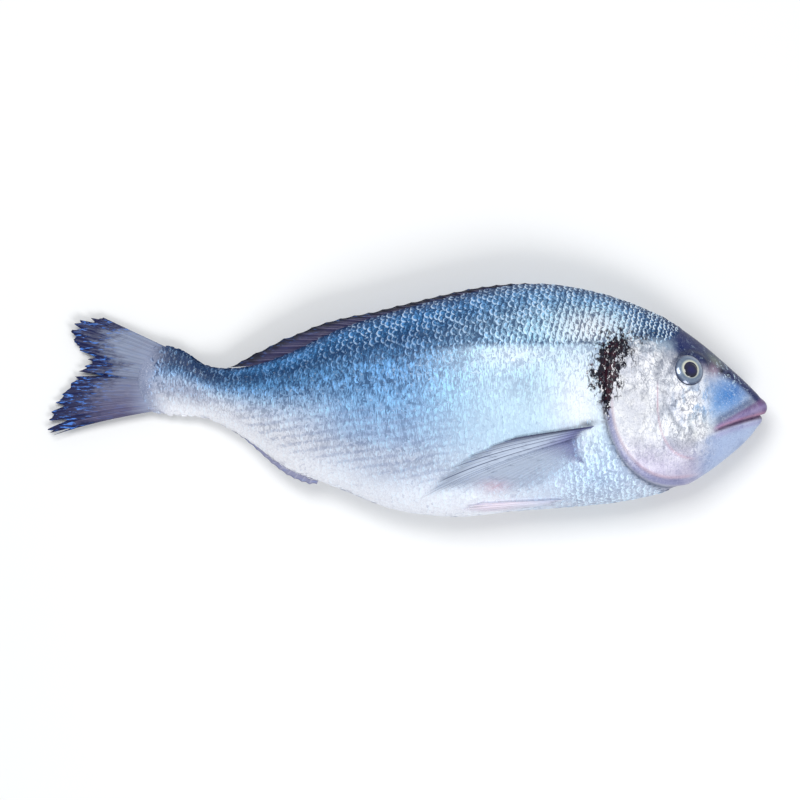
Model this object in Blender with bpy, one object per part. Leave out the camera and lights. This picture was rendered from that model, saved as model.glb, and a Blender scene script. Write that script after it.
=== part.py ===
# A whole, raw gilthead sea bream that lies on its left flank, with the right flank up.
# Units are metres. +X points to the snout, +Y to the back fin and +Z up, away from the surface.
# The origin lies on that surface, under the middle of the fish.
# The flesh is lofted through measured cross-sections, the head's plates, lips and eyes are relief
# on it, and the fins are thin ribbed blades. One union joins them, because a fish is one piece.

import math

import bmesh
import bpy
import numpy as np
from mathutils import Matrix, Vector

MM = 0.001
SOLID_NAME = "sea_bream"
RIGHT, LEFT = 1, -1

# Cross-sections of the flesh, snout to tail root, in mm: distance along X, the back's and the
# belly's height, half the thickness, and how high the middle plane lies above the surface.
STATIONS_MM = (
    (160.2, -4.0, -4.0, 0.0, 18.6),
    (158.6, 0.0, -8.6, 3.4, 18.7),
    (153.8, 5.4, -16.0, 6.6, 18.9),
    (144.6, 13.9, -24.6, 10.4, 19.3),
    (131.0, 25.4, -34.4, 14.8, 19.9),
    (115.0, 36.1, -40.9, 18.4, 20.4),
    (95.0, 44.5, -45.3, 20.9, 20.8),
    (72.0, 50.0, -47.6, 22.2, 20.9),
    (50.0, 50.7, -49.3, 22.4, 20.9),
    (22.0, 45.6, -51.8, 21.4, 20.7),
    (-5.0, 38.9, -48.4, 18.8, 19.8),
    (-30.0, 30.7, -38.9, 15.0, 17.9),
    (-52.0, 20.3, -30.6, 11.0, 14.6),
    (-72.0, 14.2, -16.6, 7.6, 11.0),
    (-88.0, 14.9, -8.3, 5.2, 8.4),
    (-99.0, 21.4, -6.9, 3.5, 6.9),
    (-109.0, 23.6, -5.9, 2.0, 5.9),
    (-116.5, 18.5, -1.0, 1.1, 5.3),
    (-119.5, 9.0, 9.0, 0.0, 5.1),
)
WIDEST_LEVEL = 0.53  # where the flanks are furthest apart, as a share of belly to back
BACK_EDGE, BELLY_EDGE, REAR_BELLY_EDGE = 1.14, 0.9, 1.1  # above 1 is sharp, below 1 is blunt
REAR_BELLY_X = (25 * MM, -45 * MM)
FLESH_RINGS, FLESH_SIDES = 300, 170
FLESH_TRIANGLES = 6200

# The gill cover, and the plate in front of it, as rounded arches about their own centres
GILL_CENTRE, GILL_REACH, GILL_FRONT_REACH = (118 * MM, 0.0), (29.8 * MM, 37.3 * MM), 46 * MM
GILL_RISE, BONE_STEP, GILL_SLIT = 1.5 * MM, 0.5 * MM, 0.5 * MM
GILL_PLATE, GILL_MARGIN, BONE_EDGE, SLIT_PLACE = (0.45, 0.95), (0.99, 1.04), 0.92, 1.06
EDGE_WIDTH, SLIT_WIDTH = 0.02, 0.03
ARCH_SQUARENESS, LOWER_ARCH_SQUARENESS = 2.6, 2.0
NAPE_FADE, JAW_FADE = (15 * MM, 29 * MM), (120 * MM, 134 * MM)
CHEEK_CENTRE, CHEEK_REACH, CHEEK_RISE = (130 * MM, 2 * MM), (19.5 * MM, 28.5 * MM), 0.5 * MM
CHEEK_GROOVE = ((114.8 * MM, -1.6 * MM), (124.4 * MM, -16.3 * MM))
CHEEK_GROOVE_DEPTH, CHEEK_GROOVE_WIDTH = 0.5 * MM, 1.4 * MM
CHEEK_PLATE, CHEEK_MARGIN = (0.6, 0.97), (0.985, 1.04)
CHEEK_FRONT_FADE, CHEEK_TOP_FADE = (127 * MM, 137 * MM), (0.0, 9 * MM)

EYE_CENTRE, EYE_RADIUS, EYE_DOME, EYE_SUNK = (126.2 * MM, 13.0 * MM), 6.7 * MM, 3.0 * MM, 0.9 * MM
EYE_SIDES, EYE_RINGS = 24, 12
SOCKET_RING, SOCKET_WIDTH, SOCKET_RISE = 7.4 * MM, 1.1 * MM, 0.5 * MM
NOSTRILS = ((143.3 * MM, 11.0 * MM), (140.2 * MM, 12.6 * MM))
NOSTRIL_SIZE, NOSTRIL_DEPTH = 0.9 * MM, 0.6 * MM

MOUTH_TIP, MOUTH_CORNER_X, MOUTH_SLOPE, MOUTH_CURVE = (158 * MM, -7.6 * MM), 136.5 * MM, 0.2, 4.5
LIP_EDGE, LIP_SLOPE = (158 * MM, 0.5 * MM), 0.557
CLEFT_DEPTH, CLEFT_WIDTH = 1.2 * MM, 0.8 * MM
UPPER_LIP_RISE, LOWER_LIP_RISE, LOWER_LIP_WIDTH = 0.9 * MM, 0.5 * MM, 4.5 * MM
MOUTH_CORNER_FADE = 4 * MM

# A fin is a fan of rays about a point. Angles are in degrees from +X, and reach is the distance of
# a ray's tip from that point, in mm. "root" and "bend" are for the first and the last ray: how
# far out it starts, in mm, and how many degrees it has turned at 100 mm out. "rise" is how far
# the fin stands out of the flank at its root and at its tips, in mm.
TAIL_FIN = {
    "centre": (-61.4, 2.3),
    "angles": (154.9, 157.8, 160.5, 164.9, 168.7, 172.1, 174.8, 179.7, 183.2, 186.7, 188.0),
    "reach": (82.0, 90.0, 94.0, 89.5, 81.0, 85.5, 87.5, 94.5, 98.5, 100.4, 98.0),
    "root": (42.0, 42.0),
    "bend": (0.0, 3.0),
    "rays": 19,
    "steps": 8,
    "tears": {3: 0.05, 6: 0.06, 9: 0.13, 13: 0.05, 15: 0.09, 17: 0.09},
}
TAIL_ROOT_THICK, TAIL_TIP_THICK = 1.7 * MM, 0.8 * MM
TAIL_DROOP, TAIL_WAVE, TAIL_WAVE_TURNS = 2.0 * MM, 0.9 * MM, 1.1

# Fins that lie against the flank, as fans
CHEST_FIN = {
    "centre": (100.0, -9.3),
    "angles": (187.2, 187.8, 188.4, 191.2, 194.8, 199.5, 205.5, 212.0, 217.0, 220.2),
    "reach": (59.5, 86.0, 100.3, 92.5, 84.0, 76.0, 68.0, 56.0, 41.0, 31.0),
    "root": (17.0, 28.0),
    "bend": (12.0, 12.0),
    "rays": 14,
    "steps": 10,
    "tears": {2: 0.05, 5: 0.05},
    "rise": (1.6, 0.9),
}
PELVIC_FIN = {
    "centre": (92.0, -43.3),
    "angles": (182.4, 184.4, 186.2, 187.4),
    "reach": (58.0, 69.5, 64.0, 50.0),
    "root": (22.0, 24.0),
    "bend": (0.0, 0.0),
    "rays": 5,
    "steps": 7,
    "tears": {},
    "rise": (2.0, 1.4),
}
LAID_FIN_SUNK, LAST_RAY_SUNK = 0.8 * MM, 0.85
RIB_SHARE = 0.3  # how much thinner a fin is between two rays than on a ray
BEND_REACH = 100 * MM

# Folded fins on the middle plane: base and tip of the rays along X, and how far the edge stands
# out of the flesh there, in mm
BACK_FIN_BASE, BACK_FIN_LEAN = (76 * MM, -54 * MM), (10 * MM, 25 * MM)
BACK_FIN_EDGE_MM = ((66, 0.1), (50, 0.9), (30, 2.1), (5, 2.0), (-14, 2.7), (-28, 4.7), (-40, 6.6),
                    (-54, 7.6), (-68, 5.1), (-79, 0.6))
BACK_FIN_RAYS, BELLY_FIN_RAYS = 24, 9
BELLY_FIN_BASE, BELLY_FIN_LEAN = (-37 * MM, -66 * MM), (2 * MM, 10 * MM)
BELLY_FIN_EDGE_MM = ((-38, 1.4), (-42, 3.0), (-46, 3.2), (-52, 3.2), (-60, 2.4), (-66, 1.5),
                     (-74, 0.5))
FOLDED_THICK, FOLDED_ROOT, FOLDED_SCALLOP = 2.2 * MM, 3.5 * MM, 0.35 * MM
FOLDED_TAPER, FOLDED_STEPS = 0.6, (0.0, 0.55, 0.8, 1.0)

# The soft flank flattens where it carries the weight
PRESS_DEPTH, PRESS_OVERRUN, FIN_OVERRUN = 1.3 * MM, 0.25 * MM, 0.15 * MM
CUTTER_SIZE = 400 * MM

SKIN_COLOUR, SKIN_ROUGHNESS, SKIN_METALLIC = (0.42, 0.55, 0.70, 1.0), 0.35, 0.25
SHARP_EDGE = math.radians(40)


def smooth_step(low, high, value):
    share = np.clip((value - low) / (high - low), 0.0, 1.0)
    return share * share * (3.0 - 2.0 * share)


def bump(distance, width):
    return np.exp(-((distance / width) ** 2))


def through_rows(rows, place):
    """A smooth curve through the rows of a table, at row numbers that may be fractions."""
    first = np.clip(np.floor(place).astype(int), 0, len(rows) - 4)
    share = (place - first)[..., None]
    before, start, end, after = (rows[first + step] for step in range(4))
    return 0.5 * (
        2.0 * start
        + (end - before) * share
        + (2.0 * before - 5.0 * start + 4.0 * end - after) * share**2
        + (3.0 * start - before - 3.0 * end + after) * share**3
    )


def stations_with_ends():
    """The stations in metres, with one more past each end that closes the loft roundly."""
    rows = np.array(STATIONS_MM) * MM

    def turned_over(row):
        return row[[0, 2, 1, 3, 4]] * (1, 1, 1, -1, 1)

    return np.vstack((turned_over(rows[1]), rows, turned_over(rows[-2])))


STATIONS = stations_with_ends()
LAST_STATION = len(STATIONS_MM) - 1
ALONG = np.linspace(0.0, LAST_STATION, 2000)
ALONG_X = through_rows(STATIONS, ALONG)[:, 0]


def section_at_x(x):
    """Back, belly, half thickness and middle plane of the flesh at places along X."""
    place = np.interp(-np.asarray(x), -ALONG_X, ALONG)
    return np.moveaxis(through_rows(STATIONS, place)[..., 1:], -1, 0)


def edge_shape(x, height):
    """The exponent that makes the section's edge sharp or blunt, above and below the middle."""
    rear = smooth_step(*REAR_BELLY_X, x)
    belly = BELLY_EDGE + (REAR_BELLY_EDGE - BELLY_EDGE) * rear
    return np.where(height > 0, BACK_EDGE, belly)


def flesh_points(place, turn):
    """Points of the smooth flesh at a station number and a turn about X, from the back."""
    x, back, belly, half, middle = np.moveaxis(through_rows(STATIONS, place), -1, 0)
    widest = belly + (back - belly) * WIDEST_LEVEL
    height, across = np.cos(turn), np.sin(turn)
    y = widest + np.where(height > 0, back - widest, widest - belly) * height
    z = middle + half * np.sign(across) * np.abs(across) ** edge_shape(x, height)
    return np.stack(np.broadcast_arrays(x, y, z), axis=-1)


def flank_height(x, y, side):
    """Height of the smooth flank over a point of the side view."""
    back, belly, half, middle = section_at_x(x)
    widest = belly + (back - belly) * WIDEST_LEVEL
    level = np.where(y > widest, (y - widest) / (back - widest), (y - widest) / (widest - belly))
    across = np.sqrt(np.clip(1.0 - level**2, 0.0, 1.0))
    return middle + side * half * across ** edge_shape(x, level)


def arch_radius(x, y, centre, reach, front_reach, squareness):
    """1 on a rounded arch about a centre, less inside it and more behind or below it."""
    ahead = x > centre[0]
    along = np.abs(x - centre[0]) / np.where(ahead, front_reach, reach[0])
    upright = np.abs(y - centre[1]) / reach[1]
    return (along**squareness + upright**squareness) ** (1.0 / squareness)


def gill_relief(x, y):
    """The gill cover: a raised plate, a lower soft margin round it, and the slit behind both."""
    squareness = np.where(y > GILL_CENTRE[1], ARCH_SQUARENESS, LOWER_ARCH_SQUARENESS)
    radius = arch_radius(x, y, GILL_CENTRE, GILL_REACH, GILL_FRONT_REACH, squareness)
    inside = 1 - smooth_step(*GILL_MARGIN, radius)
    plate = GILL_RISE * smooth_step(*GILL_PLATE, radius) * inside
    margin = smooth_step(BONE_EDGE - EDGE_WIDTH, BONE_EDGE + EDGE_WIDTH, radius)
    slit = GILL_SLIT * bump(radius - SLIT_PLACE, SLIT_WIDTH)
    below_nape = 1 - smooth_step(*NAPE_FADE, y)
    behind_jaw = 1 - smooth_step(*JAW_FADE, x)
    return (plate - BONE_STEP * margin * inside - slit) * below_nape * behind_jaw


def cheek_relief(x, y):
    radius = arch_radius(x, y, CHEEK_CENTRE, CHEEK_REACH, CHEEK_REACH[0], ARCH_SQUARENESS)
    plate = smooth_step(*CHEEK_PLATE, radius) * (1 - smooth_step(*CHEEK_MARGIN, radius))
    plate *= (1 - smooth_step(*CHEEK_FRONT_FADE, x)) * (1 - smooth_step(*CHEEK_TOP_FADE, y))
    start, end = np.array(CHEEK_GROOVE)
    run = end - start
    point = np.stack((x, y), axis=-1) - start
    share = np.clip(point @ run / (run @ run), 0.0, 1.0)
    away = np.linalg.norm(point - share[..., None] * run, axis=-1)
    return CHEEK_RISE * plate - CHEEK_GROOVE_DEPTH * bump(away, CHEEK_GROOVE_WIDTH)


def socket_relief(x, y):
    away = np.hypot(x - EYE_CENTRE[0], y - EYE_CENTRE[1])
    return SOCKET_RISE * bump(away - SOCKET_RING, SOCKET_WIDTH)


def nostril_relief(x, y):
    pits = [bump(np.hypot(x - px, y - py), NOSTRIL_SIZE) for px, py in NOSTRILS]
    return -NOSTRIL_DEPTH * sum(pits)


def mouth_line(x):
    behind = MOUTH_TIP[0] - x
    return MOUTH_TIP[1] - MOUTH_SLOPE * behind - MOUTH_CURVE * behind * np.abs(behind)


def lip_line(x):
    return LIP_EDGE[1] - LIP_SLOPE * (LIP_EDGE[0] - x)


def mouth_relief(x, y):
    cleft, edge = mouth_line(x), lip_line(x)
    shown = smooth_step(MOUTH_CORNER_X, MOUTH_CORNER_X + MOUTH_CORNER_FADE, x)
    lip = np.clip((y - cleft) / np.maximum(edge - cleft, MM), 0, 1)
    lower = np.clip((cleft - y) / LOWER_LIP_WIDTH, 0, 1)
    height = UPPER_LIP_RISE * np.sin(math.pi * lip) + LOWER_LIP_RISE * np.sin(math.pi * lower)
    return (height - CLEFT_DEPTH * bump(y - cleft, CLEFT_WIDTH)) * shown


def head_relief(x, y):
    return (
        gill_relief(x, y)
        + cheek_relief(x, y)
        + socket_relief(x, y)
        + nostril_relief(x, y)
        + mouth_relief(x, y)
    )


def pressed(z):
    """Heights after the weight has flattened the underside, a little past the surface itself."""
    low = PRESS_DEPTH
    eased = (z + low) ** 2 / (4 * low)
    return np.where(z > low, z, np.where(z < -low, 0.0, eased)) - PRESS_OVERRUN * (z < low) * (
        1 - smooth_step(0.0, low, z)
    )


def outward(points):
    """Unit normals of a grid of points that runs from snout to tail and round from the back."""
    along = np.gradient(points, axis=0)
    around = np.roll(points, -1, axis=1) - np.roll(points, 1, axis=1)
    normal = np.cross(along, around)
    return normal / np.maximum(np.linalg.norm(normal, axis=-1, keepdims=True), 1e-12)


def mesh_object(name, points, faces):
    mesh = bpy.data.meshes.new(name)
    mesh.from_pydata(np.asarray(points).reshape(-1, 3).tolist(), [], faces)
    mesh.validate()
    made = bpy.data.objects.new(name, mesh)
    bpy.context.scene.collection.objects.link(made)
    return made


def apply_modifier(made, kind, **settings):
    modifier = made.modifiers.new(kind.title(), kind)
    for name, value in settings.items():
        setattr(modifier, name, value)
    bpy.context.view_layer.objects.active = made
    bpy.ops.object.modifier_apply(modifier=modifier.name)


def flesh():
    """The loft with the head's relief on both sides, thinned where it is plain."""
    place = np.linspace(0, LAST_STATION, FLESH_RINGS + 2)[1:-1]
    turn = np.arange(FLESH_SIDES) * math.tau / FLESH_SIDES
    grid = flesh_points(place[:, None], turn[None, :])
    relief = head_relief(grid[..., 0], grid[..., 1])
    grid = grid + outward(grid) * relief[..., None]
    grid[..., 2] = pressed(grid[..., 2])
    points = np.vstack((grid.reshape(-1, 3), grid[0].mean(axis=0), grid[-1].mean(axis=0)))
    snout, tail = FLESH_RINGS * FLESH_SIDES, FLESH_RINGS * FLESH_SIDES + 1
    faces = []
    for side in range(FLESH_SIDES):
        after = (side + 1) % FLESH_SIDES
        faces.append((snout, side, after))
        last = (FLESH_RINGS - 1) * FLESH_SIDES
        faces.append((tail, last + after, last + side))
        for ring in range(FLESH_RINGS - 1):
            near, far = ring * FLESH_SIDES, (ring + 1) * FLESH_SIDES
            faces.append((near + side, far + side, far + after, near + after))
    made = mesh_object(SOLID_NAME, points, faces)
    dense = 2 * FLESH_RINGS * FLESH_SIDES
    apply_modifier(made, "DECIMATE", ratio=FLESH_TRIANGLES / dense, use_collapse_triangulate=True)
    return made


def blade(name, upper, lower):
    """A closed thin solid between two grids of points, one over the other."""
    rows, columns = upper.shape[:2]
    under = rows * columns

    def at(row, column, base=0):
        return base + row * columns + column

    faces = []
    for row in range(rows - 1):
        for column in range(columns - 1):
            corners = ((row, column), (row, column + 1), (row + 1, column + 1), (row + 1, column))
            faces.append([at(*corner) for corner in corners])
            faces.append([at(*corner, under) for corner in reversed(corners)])
    rim = [(0, column) for column in range(columns)]
    rim += [(row, columns - 1) for row in range(1, rows)]
    rim += [(rows - 1, column) for column in range(columns - 2, -1, -1)]
    rim += [(row, 0) for row in range(rows - 2, 0, -1)]
    for corner, after in zip(rim, rim[1:] + rim[:1]):
        faces.append([at(*after), at(*corner), at(*corner, under), at(*after, under)])
    made = mesh_object(name, np.concatenate((upper.reshape(-1, 3), lower.reshape(-1, 3))), faces)
    apply_modifier(made, "TRIANGULATE")
    return made


def rib_profile(columns):
    """1 on each ray and less between two rays. Rays are the even columns."""
    return 1 - RIB_SHARE * (np.arange(columns) % 2)


def closed_blade(name, plan_x, plan_y, upper, lower):
    """A blade over a grid of plan points, turned so that its faces look outward."""
    grids = [np.stack((plan_x, plan_y, height), axis=-1) for height in (upper, lower)]
    along, around = grids[0][1, 0] - grids[0][0, 0], grids[0][0, 1] - grids[0][0, 0]
    if np.cross(around, along)[2] > 0:
        grids = [grid[:, ::-1] for grid in grids]
    return blade(name, *grids)


def fan(plan):
    """Plan points of a fan of rays, root to tip, and how far out each point is, 0 to 1."""
    columns = 2 * plan["rays"] - 1
    across = np.linspace(0, 1, columns)
    angle = np.interp(across, np.linspace(0, 1, len(plan["angles"])), plan["angles"])
    reach = np.interp(angle, plan["angles"], plan["reach"]) * MM
    for gap, torn in plan["tears"].items():
        reach[2 * gap + 1] *= 1 - torn
    root = np.interp(across, (0, 1), plan["root"]) * MM
    bend = np.interp(across, (0, 1), plan["bend"])
    out = np.linspace(0, 1, plan["steps"])[:, None]
    radius = root + (reach - root) * out
    turned = np.radians(angle + bend * (radius / BEND_REACH) ** 3)
    x = plan["centre"][0] * MM + radius * np.cos(turned)
    y = plan["centre"][1] * MM + radius * np.sin(turned)
    return x, y, out, across


def tail_fin():
    """The forked tail fin, which sags a little towards its tips."""
    x, y, out, across = fan(TAIL_FIN)
    middle = section_at_x(np.maximum(x, STATIONS_MM[-2][0] * MM))[3]
    wave = TAIL_WAVE * out * np.sin(TAIL_WAVE_TURNS * math.tau * across)
    middle = middle - TAIL_DROOP * out**2 + wave
    thick = TAIL_ROOT_THICK + (TAIL_TIP_THICK - TAIL_ROOT_THICK) * out
    half = thick * rib_profile(across.size) / 2
    return closed_blade("tail_fin", x, y, middle + half, middle - half)


def folded_fin(name, rays, base, lean, edge_mm, outward_sign):
    """A low blade on the middle plane, whose rays lean back to the tail."""
    columns = 2 * rays - 1
    across = np.linspace(0, 1, columns)
    root_x = base[0] + (base[1] - base[0]) * across
    tip_x = root_x - (lean[0] + (lean[1] - lean[0]) * across)
    outline = np.array(edge_mm[::-1]) * MM

    def flesh_edge(x):
        back, belly = section_at_x(x)[:2]
        return back if outward_sign > 0 else belly

    root_y = flesh_edge(root_x) - outward_sign * FOLDED_ROOT
    stand = np.interp(tip_x, outline[:, 0], outline[:, 1])
    stand = stand - FOLDED_SCALLOP * (np.arange(columns) % 2)
    tip_y = flesh_edge(tip_x) + outward_sign * stand
    out = np.array(FOLDED_STEPS)[:, None]
    x = root_x + (tip_x - root_x) * out
    y = root_y + (tip_y - root_y) * out
    middle = section_at_x(x)[3]
    half = FOLDED_THICK * (1 - FOLDED_TAPER * out) * rib_profile(columns) / 2
    return closed_blade(name, x, y, middle + half, middle - half)


def laid_fin(name, side, plan):
    """A fan that follows the flank it lies against, sunk a little into it."""
    x, y, out, across = fan(plan)
    skin = flank_height(x, y, side)
    root_rise, tip_rise = plan["rise"]
    rise = (root_rise + (tip_rise - root_rise) * out) * MM * (1 - LAST_RAY_SUNK * across**2)
    rise = np.where(out > 0, rise, -FIN_OVERRUN)
    outer = pressed(skin + side * rise * rib_profile(across.size)) + side * FIN_OVERRUN
    inner = pressed(skin) - side * LAID_FIN_SUNK
    return closed_blade(name, x, y, *((outer, inner) if side == RIGHT else (inner, outer)))


def flank_normal(x, y, side):
    """The way out of the smooth flank at a point of the side view."""
    step = 0.5 * MM
    slope_x = flank_height(x + step, y, side) - flank_height(x - step, y, side)
    slope_y = flank_height(x, y + step, side) - flank_height(x, y - step, side)
    return Vector((-side * slope_x, -side * slope_y, side * 2 * step)).normalized()


def eye(name, side):
    """A flattened ball, sunk into the head, whose short axis points out of the flank."""
    x, y = EYE_CENTRE
    normal = flank_normal(x, y, side)
    centre = Vector((x, y, flank_height(x, y, side))) - normal * EYE_SUNK
    turned = normal.to_track_quat("Z", "Y").to_matrix().to_4x4()
    squashed = Matrix.Diagonal((EYE_RADIUS, EYE_RADIUS, EYE_DOME, 1))
    bm = bmesh.new()
    bmesh.ops.create_uvsphere(bm, u_segments=EYE_SIDES, v_segments=EYE_RINGS, radius=1)
    bmesh.ops.transform(bm, matrix=Matrix.Translation(centre) @ turned @ squashed, verts=bm.verts)
    mesh = bpy.data.meshes.new(name)
    bm.to_mesh(mesh)
    bm.free()
    made = bpy.data.objects.new(name, mesh)
    bpy.context.scene.collection.objects.link(made)
    return made


def fins():
    made = [
        tail_fin(),
        folded_fin("back_fin", BACK_FIN_RAYS, BACK_FIN_BASE, BACK_FIN_LEAN, BACK_FIN_EDGE_MM, 1),
        folded_fin("belly_fin", BELLY_FIN_RAYS, BELLY_FIN_BASE, BELLY_FIN_LEAN,
                   BELLY_FIN_EDGE_MM, -1),
    ]
    for side, word in ((RIGHT, "right"), (LEFT, "left")):
        made.append(laid_fin("chest_fin_" + word, side, CHEST_FIN))
        made.append(laid_fin("pelvic_fin_" + word, side, PELVIC_FIN))
    return made


def surface_cutter():
    """A block below the surface, which gives the pressed flank its flat spot."""
    bpy.ops.mesh.primitive_cube_add(size=CUTTER_SIZE, location=(0, 0, -CUTTER_SIZE / 2))
    return bpy.context.object


def join(fish, pieces, operation):
    """Joins pieces to the fish, or cuts them away, and removes them."""
    group = bpy.data.collections.new(operation.title())
    bpy.context.scene.collection.children.link(group)
    for piece in pieces:
        group.objects.link(piece)
        for holder in list(piece.users_collection):
            if holder != group:
                holder.objects.unlink(piece)
    apply_modifier(fish, "BOOLEAN", operation=operation, operand_type="COLLECTION",
                   collection=group, solver="EXACT")
    for piece in pieces:
        bpy.data.objects.remove(piece)
    bpy.data.collections.remove(group)


def skin_material():
    material = bpy.data.materials.new("silver_skin")
    material.use_nodes = True
    shader = material.node_tree.nodes["Principled BSDF"]
    shader.inputs["Base Color"].default_value = SKIN_COLOUR
    shader.inputs["Roughness"].default_value = SKIN_ROUGHNESS
    shader.inputs["Metallic"].default_value = SKIN_METALLIC
    return material


def main():
    for left_over in list(bpy.data.objects):
        bpy.data.objects.remove(left_over)
    fish = flesh()
    eyes = [eye("right_eye", RIGHT), eye("left_eye", LEFT)]
    join(fish, eyes + fins(), "UNION")
    join(fish, [surface_cutter()], "DIFFERENCE")
    fish.data.materials.clear()
    fish.data.materials.append(skin_material())
    fish.data.shade_smooth()
    fish.data.set_sharp_from_angle(angle=SHARP_EDGE)


main()
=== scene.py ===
# %% [markdown]
# # A whole sea bream
# The fish lies on its left flank, right flank up, as on a fishmonger's slab. Its solid comes from
# model.glb and fixes every size. This file dresses it: a finer skin, a coat of real scales, glassy
# eyes and rayed fins, each with its own finish. Everything is in metres, +X points to the snout,
# +Y to the back fin and +Z up.

# %% Load the solid
import math

import bpy
import numpy as np
from mathutils import Matrix, Vector


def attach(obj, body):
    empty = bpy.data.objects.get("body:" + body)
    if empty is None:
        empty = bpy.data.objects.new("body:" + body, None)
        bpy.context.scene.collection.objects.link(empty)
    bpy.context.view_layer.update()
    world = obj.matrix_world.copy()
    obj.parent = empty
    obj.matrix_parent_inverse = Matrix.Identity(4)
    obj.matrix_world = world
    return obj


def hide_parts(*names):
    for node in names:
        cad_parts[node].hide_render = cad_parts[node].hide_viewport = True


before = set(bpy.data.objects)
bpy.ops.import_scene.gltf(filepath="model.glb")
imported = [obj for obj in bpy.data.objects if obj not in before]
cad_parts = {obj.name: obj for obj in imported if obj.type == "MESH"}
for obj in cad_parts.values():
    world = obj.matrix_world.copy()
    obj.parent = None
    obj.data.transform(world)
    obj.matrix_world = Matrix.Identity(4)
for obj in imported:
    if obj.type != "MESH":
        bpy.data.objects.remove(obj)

MM = 0.001
BODY = "root"
SOLID = "sea_bream"
RIGHT, LEFT = 1, -1
SIDES = ((RIGHT, "right"), (LEFT, "left"))
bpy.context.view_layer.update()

# %% [markdown]
# ## The shape of the flesh
# A sea bream is a deep, flat oval that narrows to a thin tail root. It could be sculpted, but a
# table of cross-sections is easier to keep true: at each station along the fish, in mm, the height
# of the back and of the belly, half the thickness, and how high the middle plane lies. A smooth
# curve runs through the rows, and each section is an oval with its own edge sharpness.

# %% Cross-sections and the smooth curve through them
STATIONS_MM = (
    (160.2, -4.0, -4.0, 0.0, 18.6),
    (158.6, 0.0, -8.6, 3.4, 18.7),
    (153.8, 5.4, -16.0, 6.6, 18.9),
    (144.6, 13.9, -24.6, 10.4, 19.3),
    (131.0, 25.4, -34.4, 14.8, 19.9),
    (115.0, 36.1, -40.9, 18.4, 20.4),
    (95.0, 44.5, -45.3, 20.9, 20.8),
    (72.0, 50.0, -47.6, 22.2, 20.9),
    (50.0, 50.7, -49.3, 22.4, 20.9),
    (22.0, 45.6, -51.8, 21.4, 20.7),
    (-5.0, 38.9, -48.4, 18.8, 19.8),
    (-30.0, 30.7, -38.9, 15.0, 17.9),
    (-52.0, 20.3, -30.6, 11.0, 14.6),
    (-72.0, 14.2, -16.6, 7.6, 11.0),
    (-88.0, 14.9, -8.3, 5.2, 8.4),
    (-99.0, 21.4, -6.9, 3.5, 6.9),
    (-109.0, 23.6, -5.9, 2.0, 5.9),
    (-116.5, 18.5, -1.0, 1.1, 5.3),
    (-119.5, 9.0, 9.0, 0.0, 5.1),
)
LAST_STATION = len(STATIONS_MM) - 1
WIDEST_LEVEL = 0.53
BACK_EDGE, BELLY_EDGE, REAR_BELLY_EDGE = 1.14, 0.9, 1.1
REAR_BELLY_X = (25, -45)
PRESS_DEPTH = 1.3 * MM


def smooth_step(low, high, value):
    share = np.clip((value - low) / (high - low), 0.0, 1.0)
    return share * share * (3.0 - 2.0 * share)


def ramp(value, low, high):
    """0 at low and 1 at high, which are in mm, with a soft way between."""
    return smooth_step(low * MM, high * MM, value)


def bump(distance, width):
    return np.exp(-((distance / width) ** 2))


def through_rows(rows, place):
    first = np.clip(np.floor(place).astype(int), 0, len(rows) - 4)
    share = (place - first)[..., None]
    before, start, end, after = (rows[first + step] for step in range(4))
    return 0.5 * (
        2.0 * start
        + (end - before) * share
        + (2.0 * before - 5.0 * start + 4.0 * end - after) * share**2
        + (3.0 * start - before - 3.0 * end + after) * share**3
    )


def stations_with_ends():
    rows = np.array(STATIONS_MM) * MM
    swap = [0, 2, 1, 3, 4]
    flip = (1, 1, 1, -1, 1)
    return np.vstack((rows[1, swap] * flip, rows, rows[-2, swap] * flip))


STATIONS = stations_with_ends()
ALONG = np.linspace(0.0, LAST_STATION, 2000)
ALONG_X = through_rows(STATIONS, ALONG)[:, 0]


def place_of(x):
    """The station number, with its fraction, of a place along X."""
    return np.interp(-np.asarray(x), -ALONG_X, ALONG)


def section_at_x(x):
    return np.moveaxis(through_rows(STATIONS, place_of(x))[..., 1:], -1, 0)


print("stations:", len(STATIONS_MM), "length, mm:", round((ALONG_X[0] - ALONG_X[-1]) / MM, 1))

# %% [markdown]
# A point of the skin is then a station number and a turn about the fish's long axis, which starts
# at the back. Two neighbours give the way to the tail and the way round the body, and from those
# comes the way out, which scales and relief need.

# %% Points, directions and the flattened underside


def edge_shape(x, height):
    rear = ramp(x, *REAR_BELLY_X)
    belly = BELLY_EDGE + (REAR_BELLY_EDGE - BELLY_EDGE) * rear
    return np.where(height > 0, BACK_EDGE, belly)


def flesh_points(place, turn):
    x, back, belly, half, middle = np.moveaxis(through_rows(STATIONS, place), -1, 0)
    widest = belly + (back - belly) * WIDEST_LEVEL
    height, across = np.cos(turn), np.sin(turn)
    y = widest + np.where(height > 0, back - widest, widest - belly) * height
    z = middle + half * np.sign(across) * np.abs(across) ** edge_shape(x, height)
    return np.stack(np.broadcast_arrays(x, y, z), axis=-1)


def flank_height(x, y, side):
    back, belly, half, middle = section_at_x(x)
    widest = belly + (back - belly) * WIDEST_LEVEL
    level = np.where(y > widest, (y - widest) / (back - widest), (y - widest) / (widest - belly))
    across = np.sqrt(np.clip(1.0 - level**2, 0.0, 1.0))
    return middle + side * half * across ** edge_shape(x, level)


def pressed(z):
    """The soft flank is flat where it carries the weight."""
    eased = (z + PRESS_DEPTH) ** 2 / (4 * PRESS_DEPTH)
    return np.where(z > PRESS_DEPTH, z, np.where(z < -PRESS_DEPTH, 0.0, eased))


def unit(vectors):
    return vectors / np.maximum(np.linalg.norm(vectors, axis=-1, keepdims=True), 1e-12)


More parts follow.
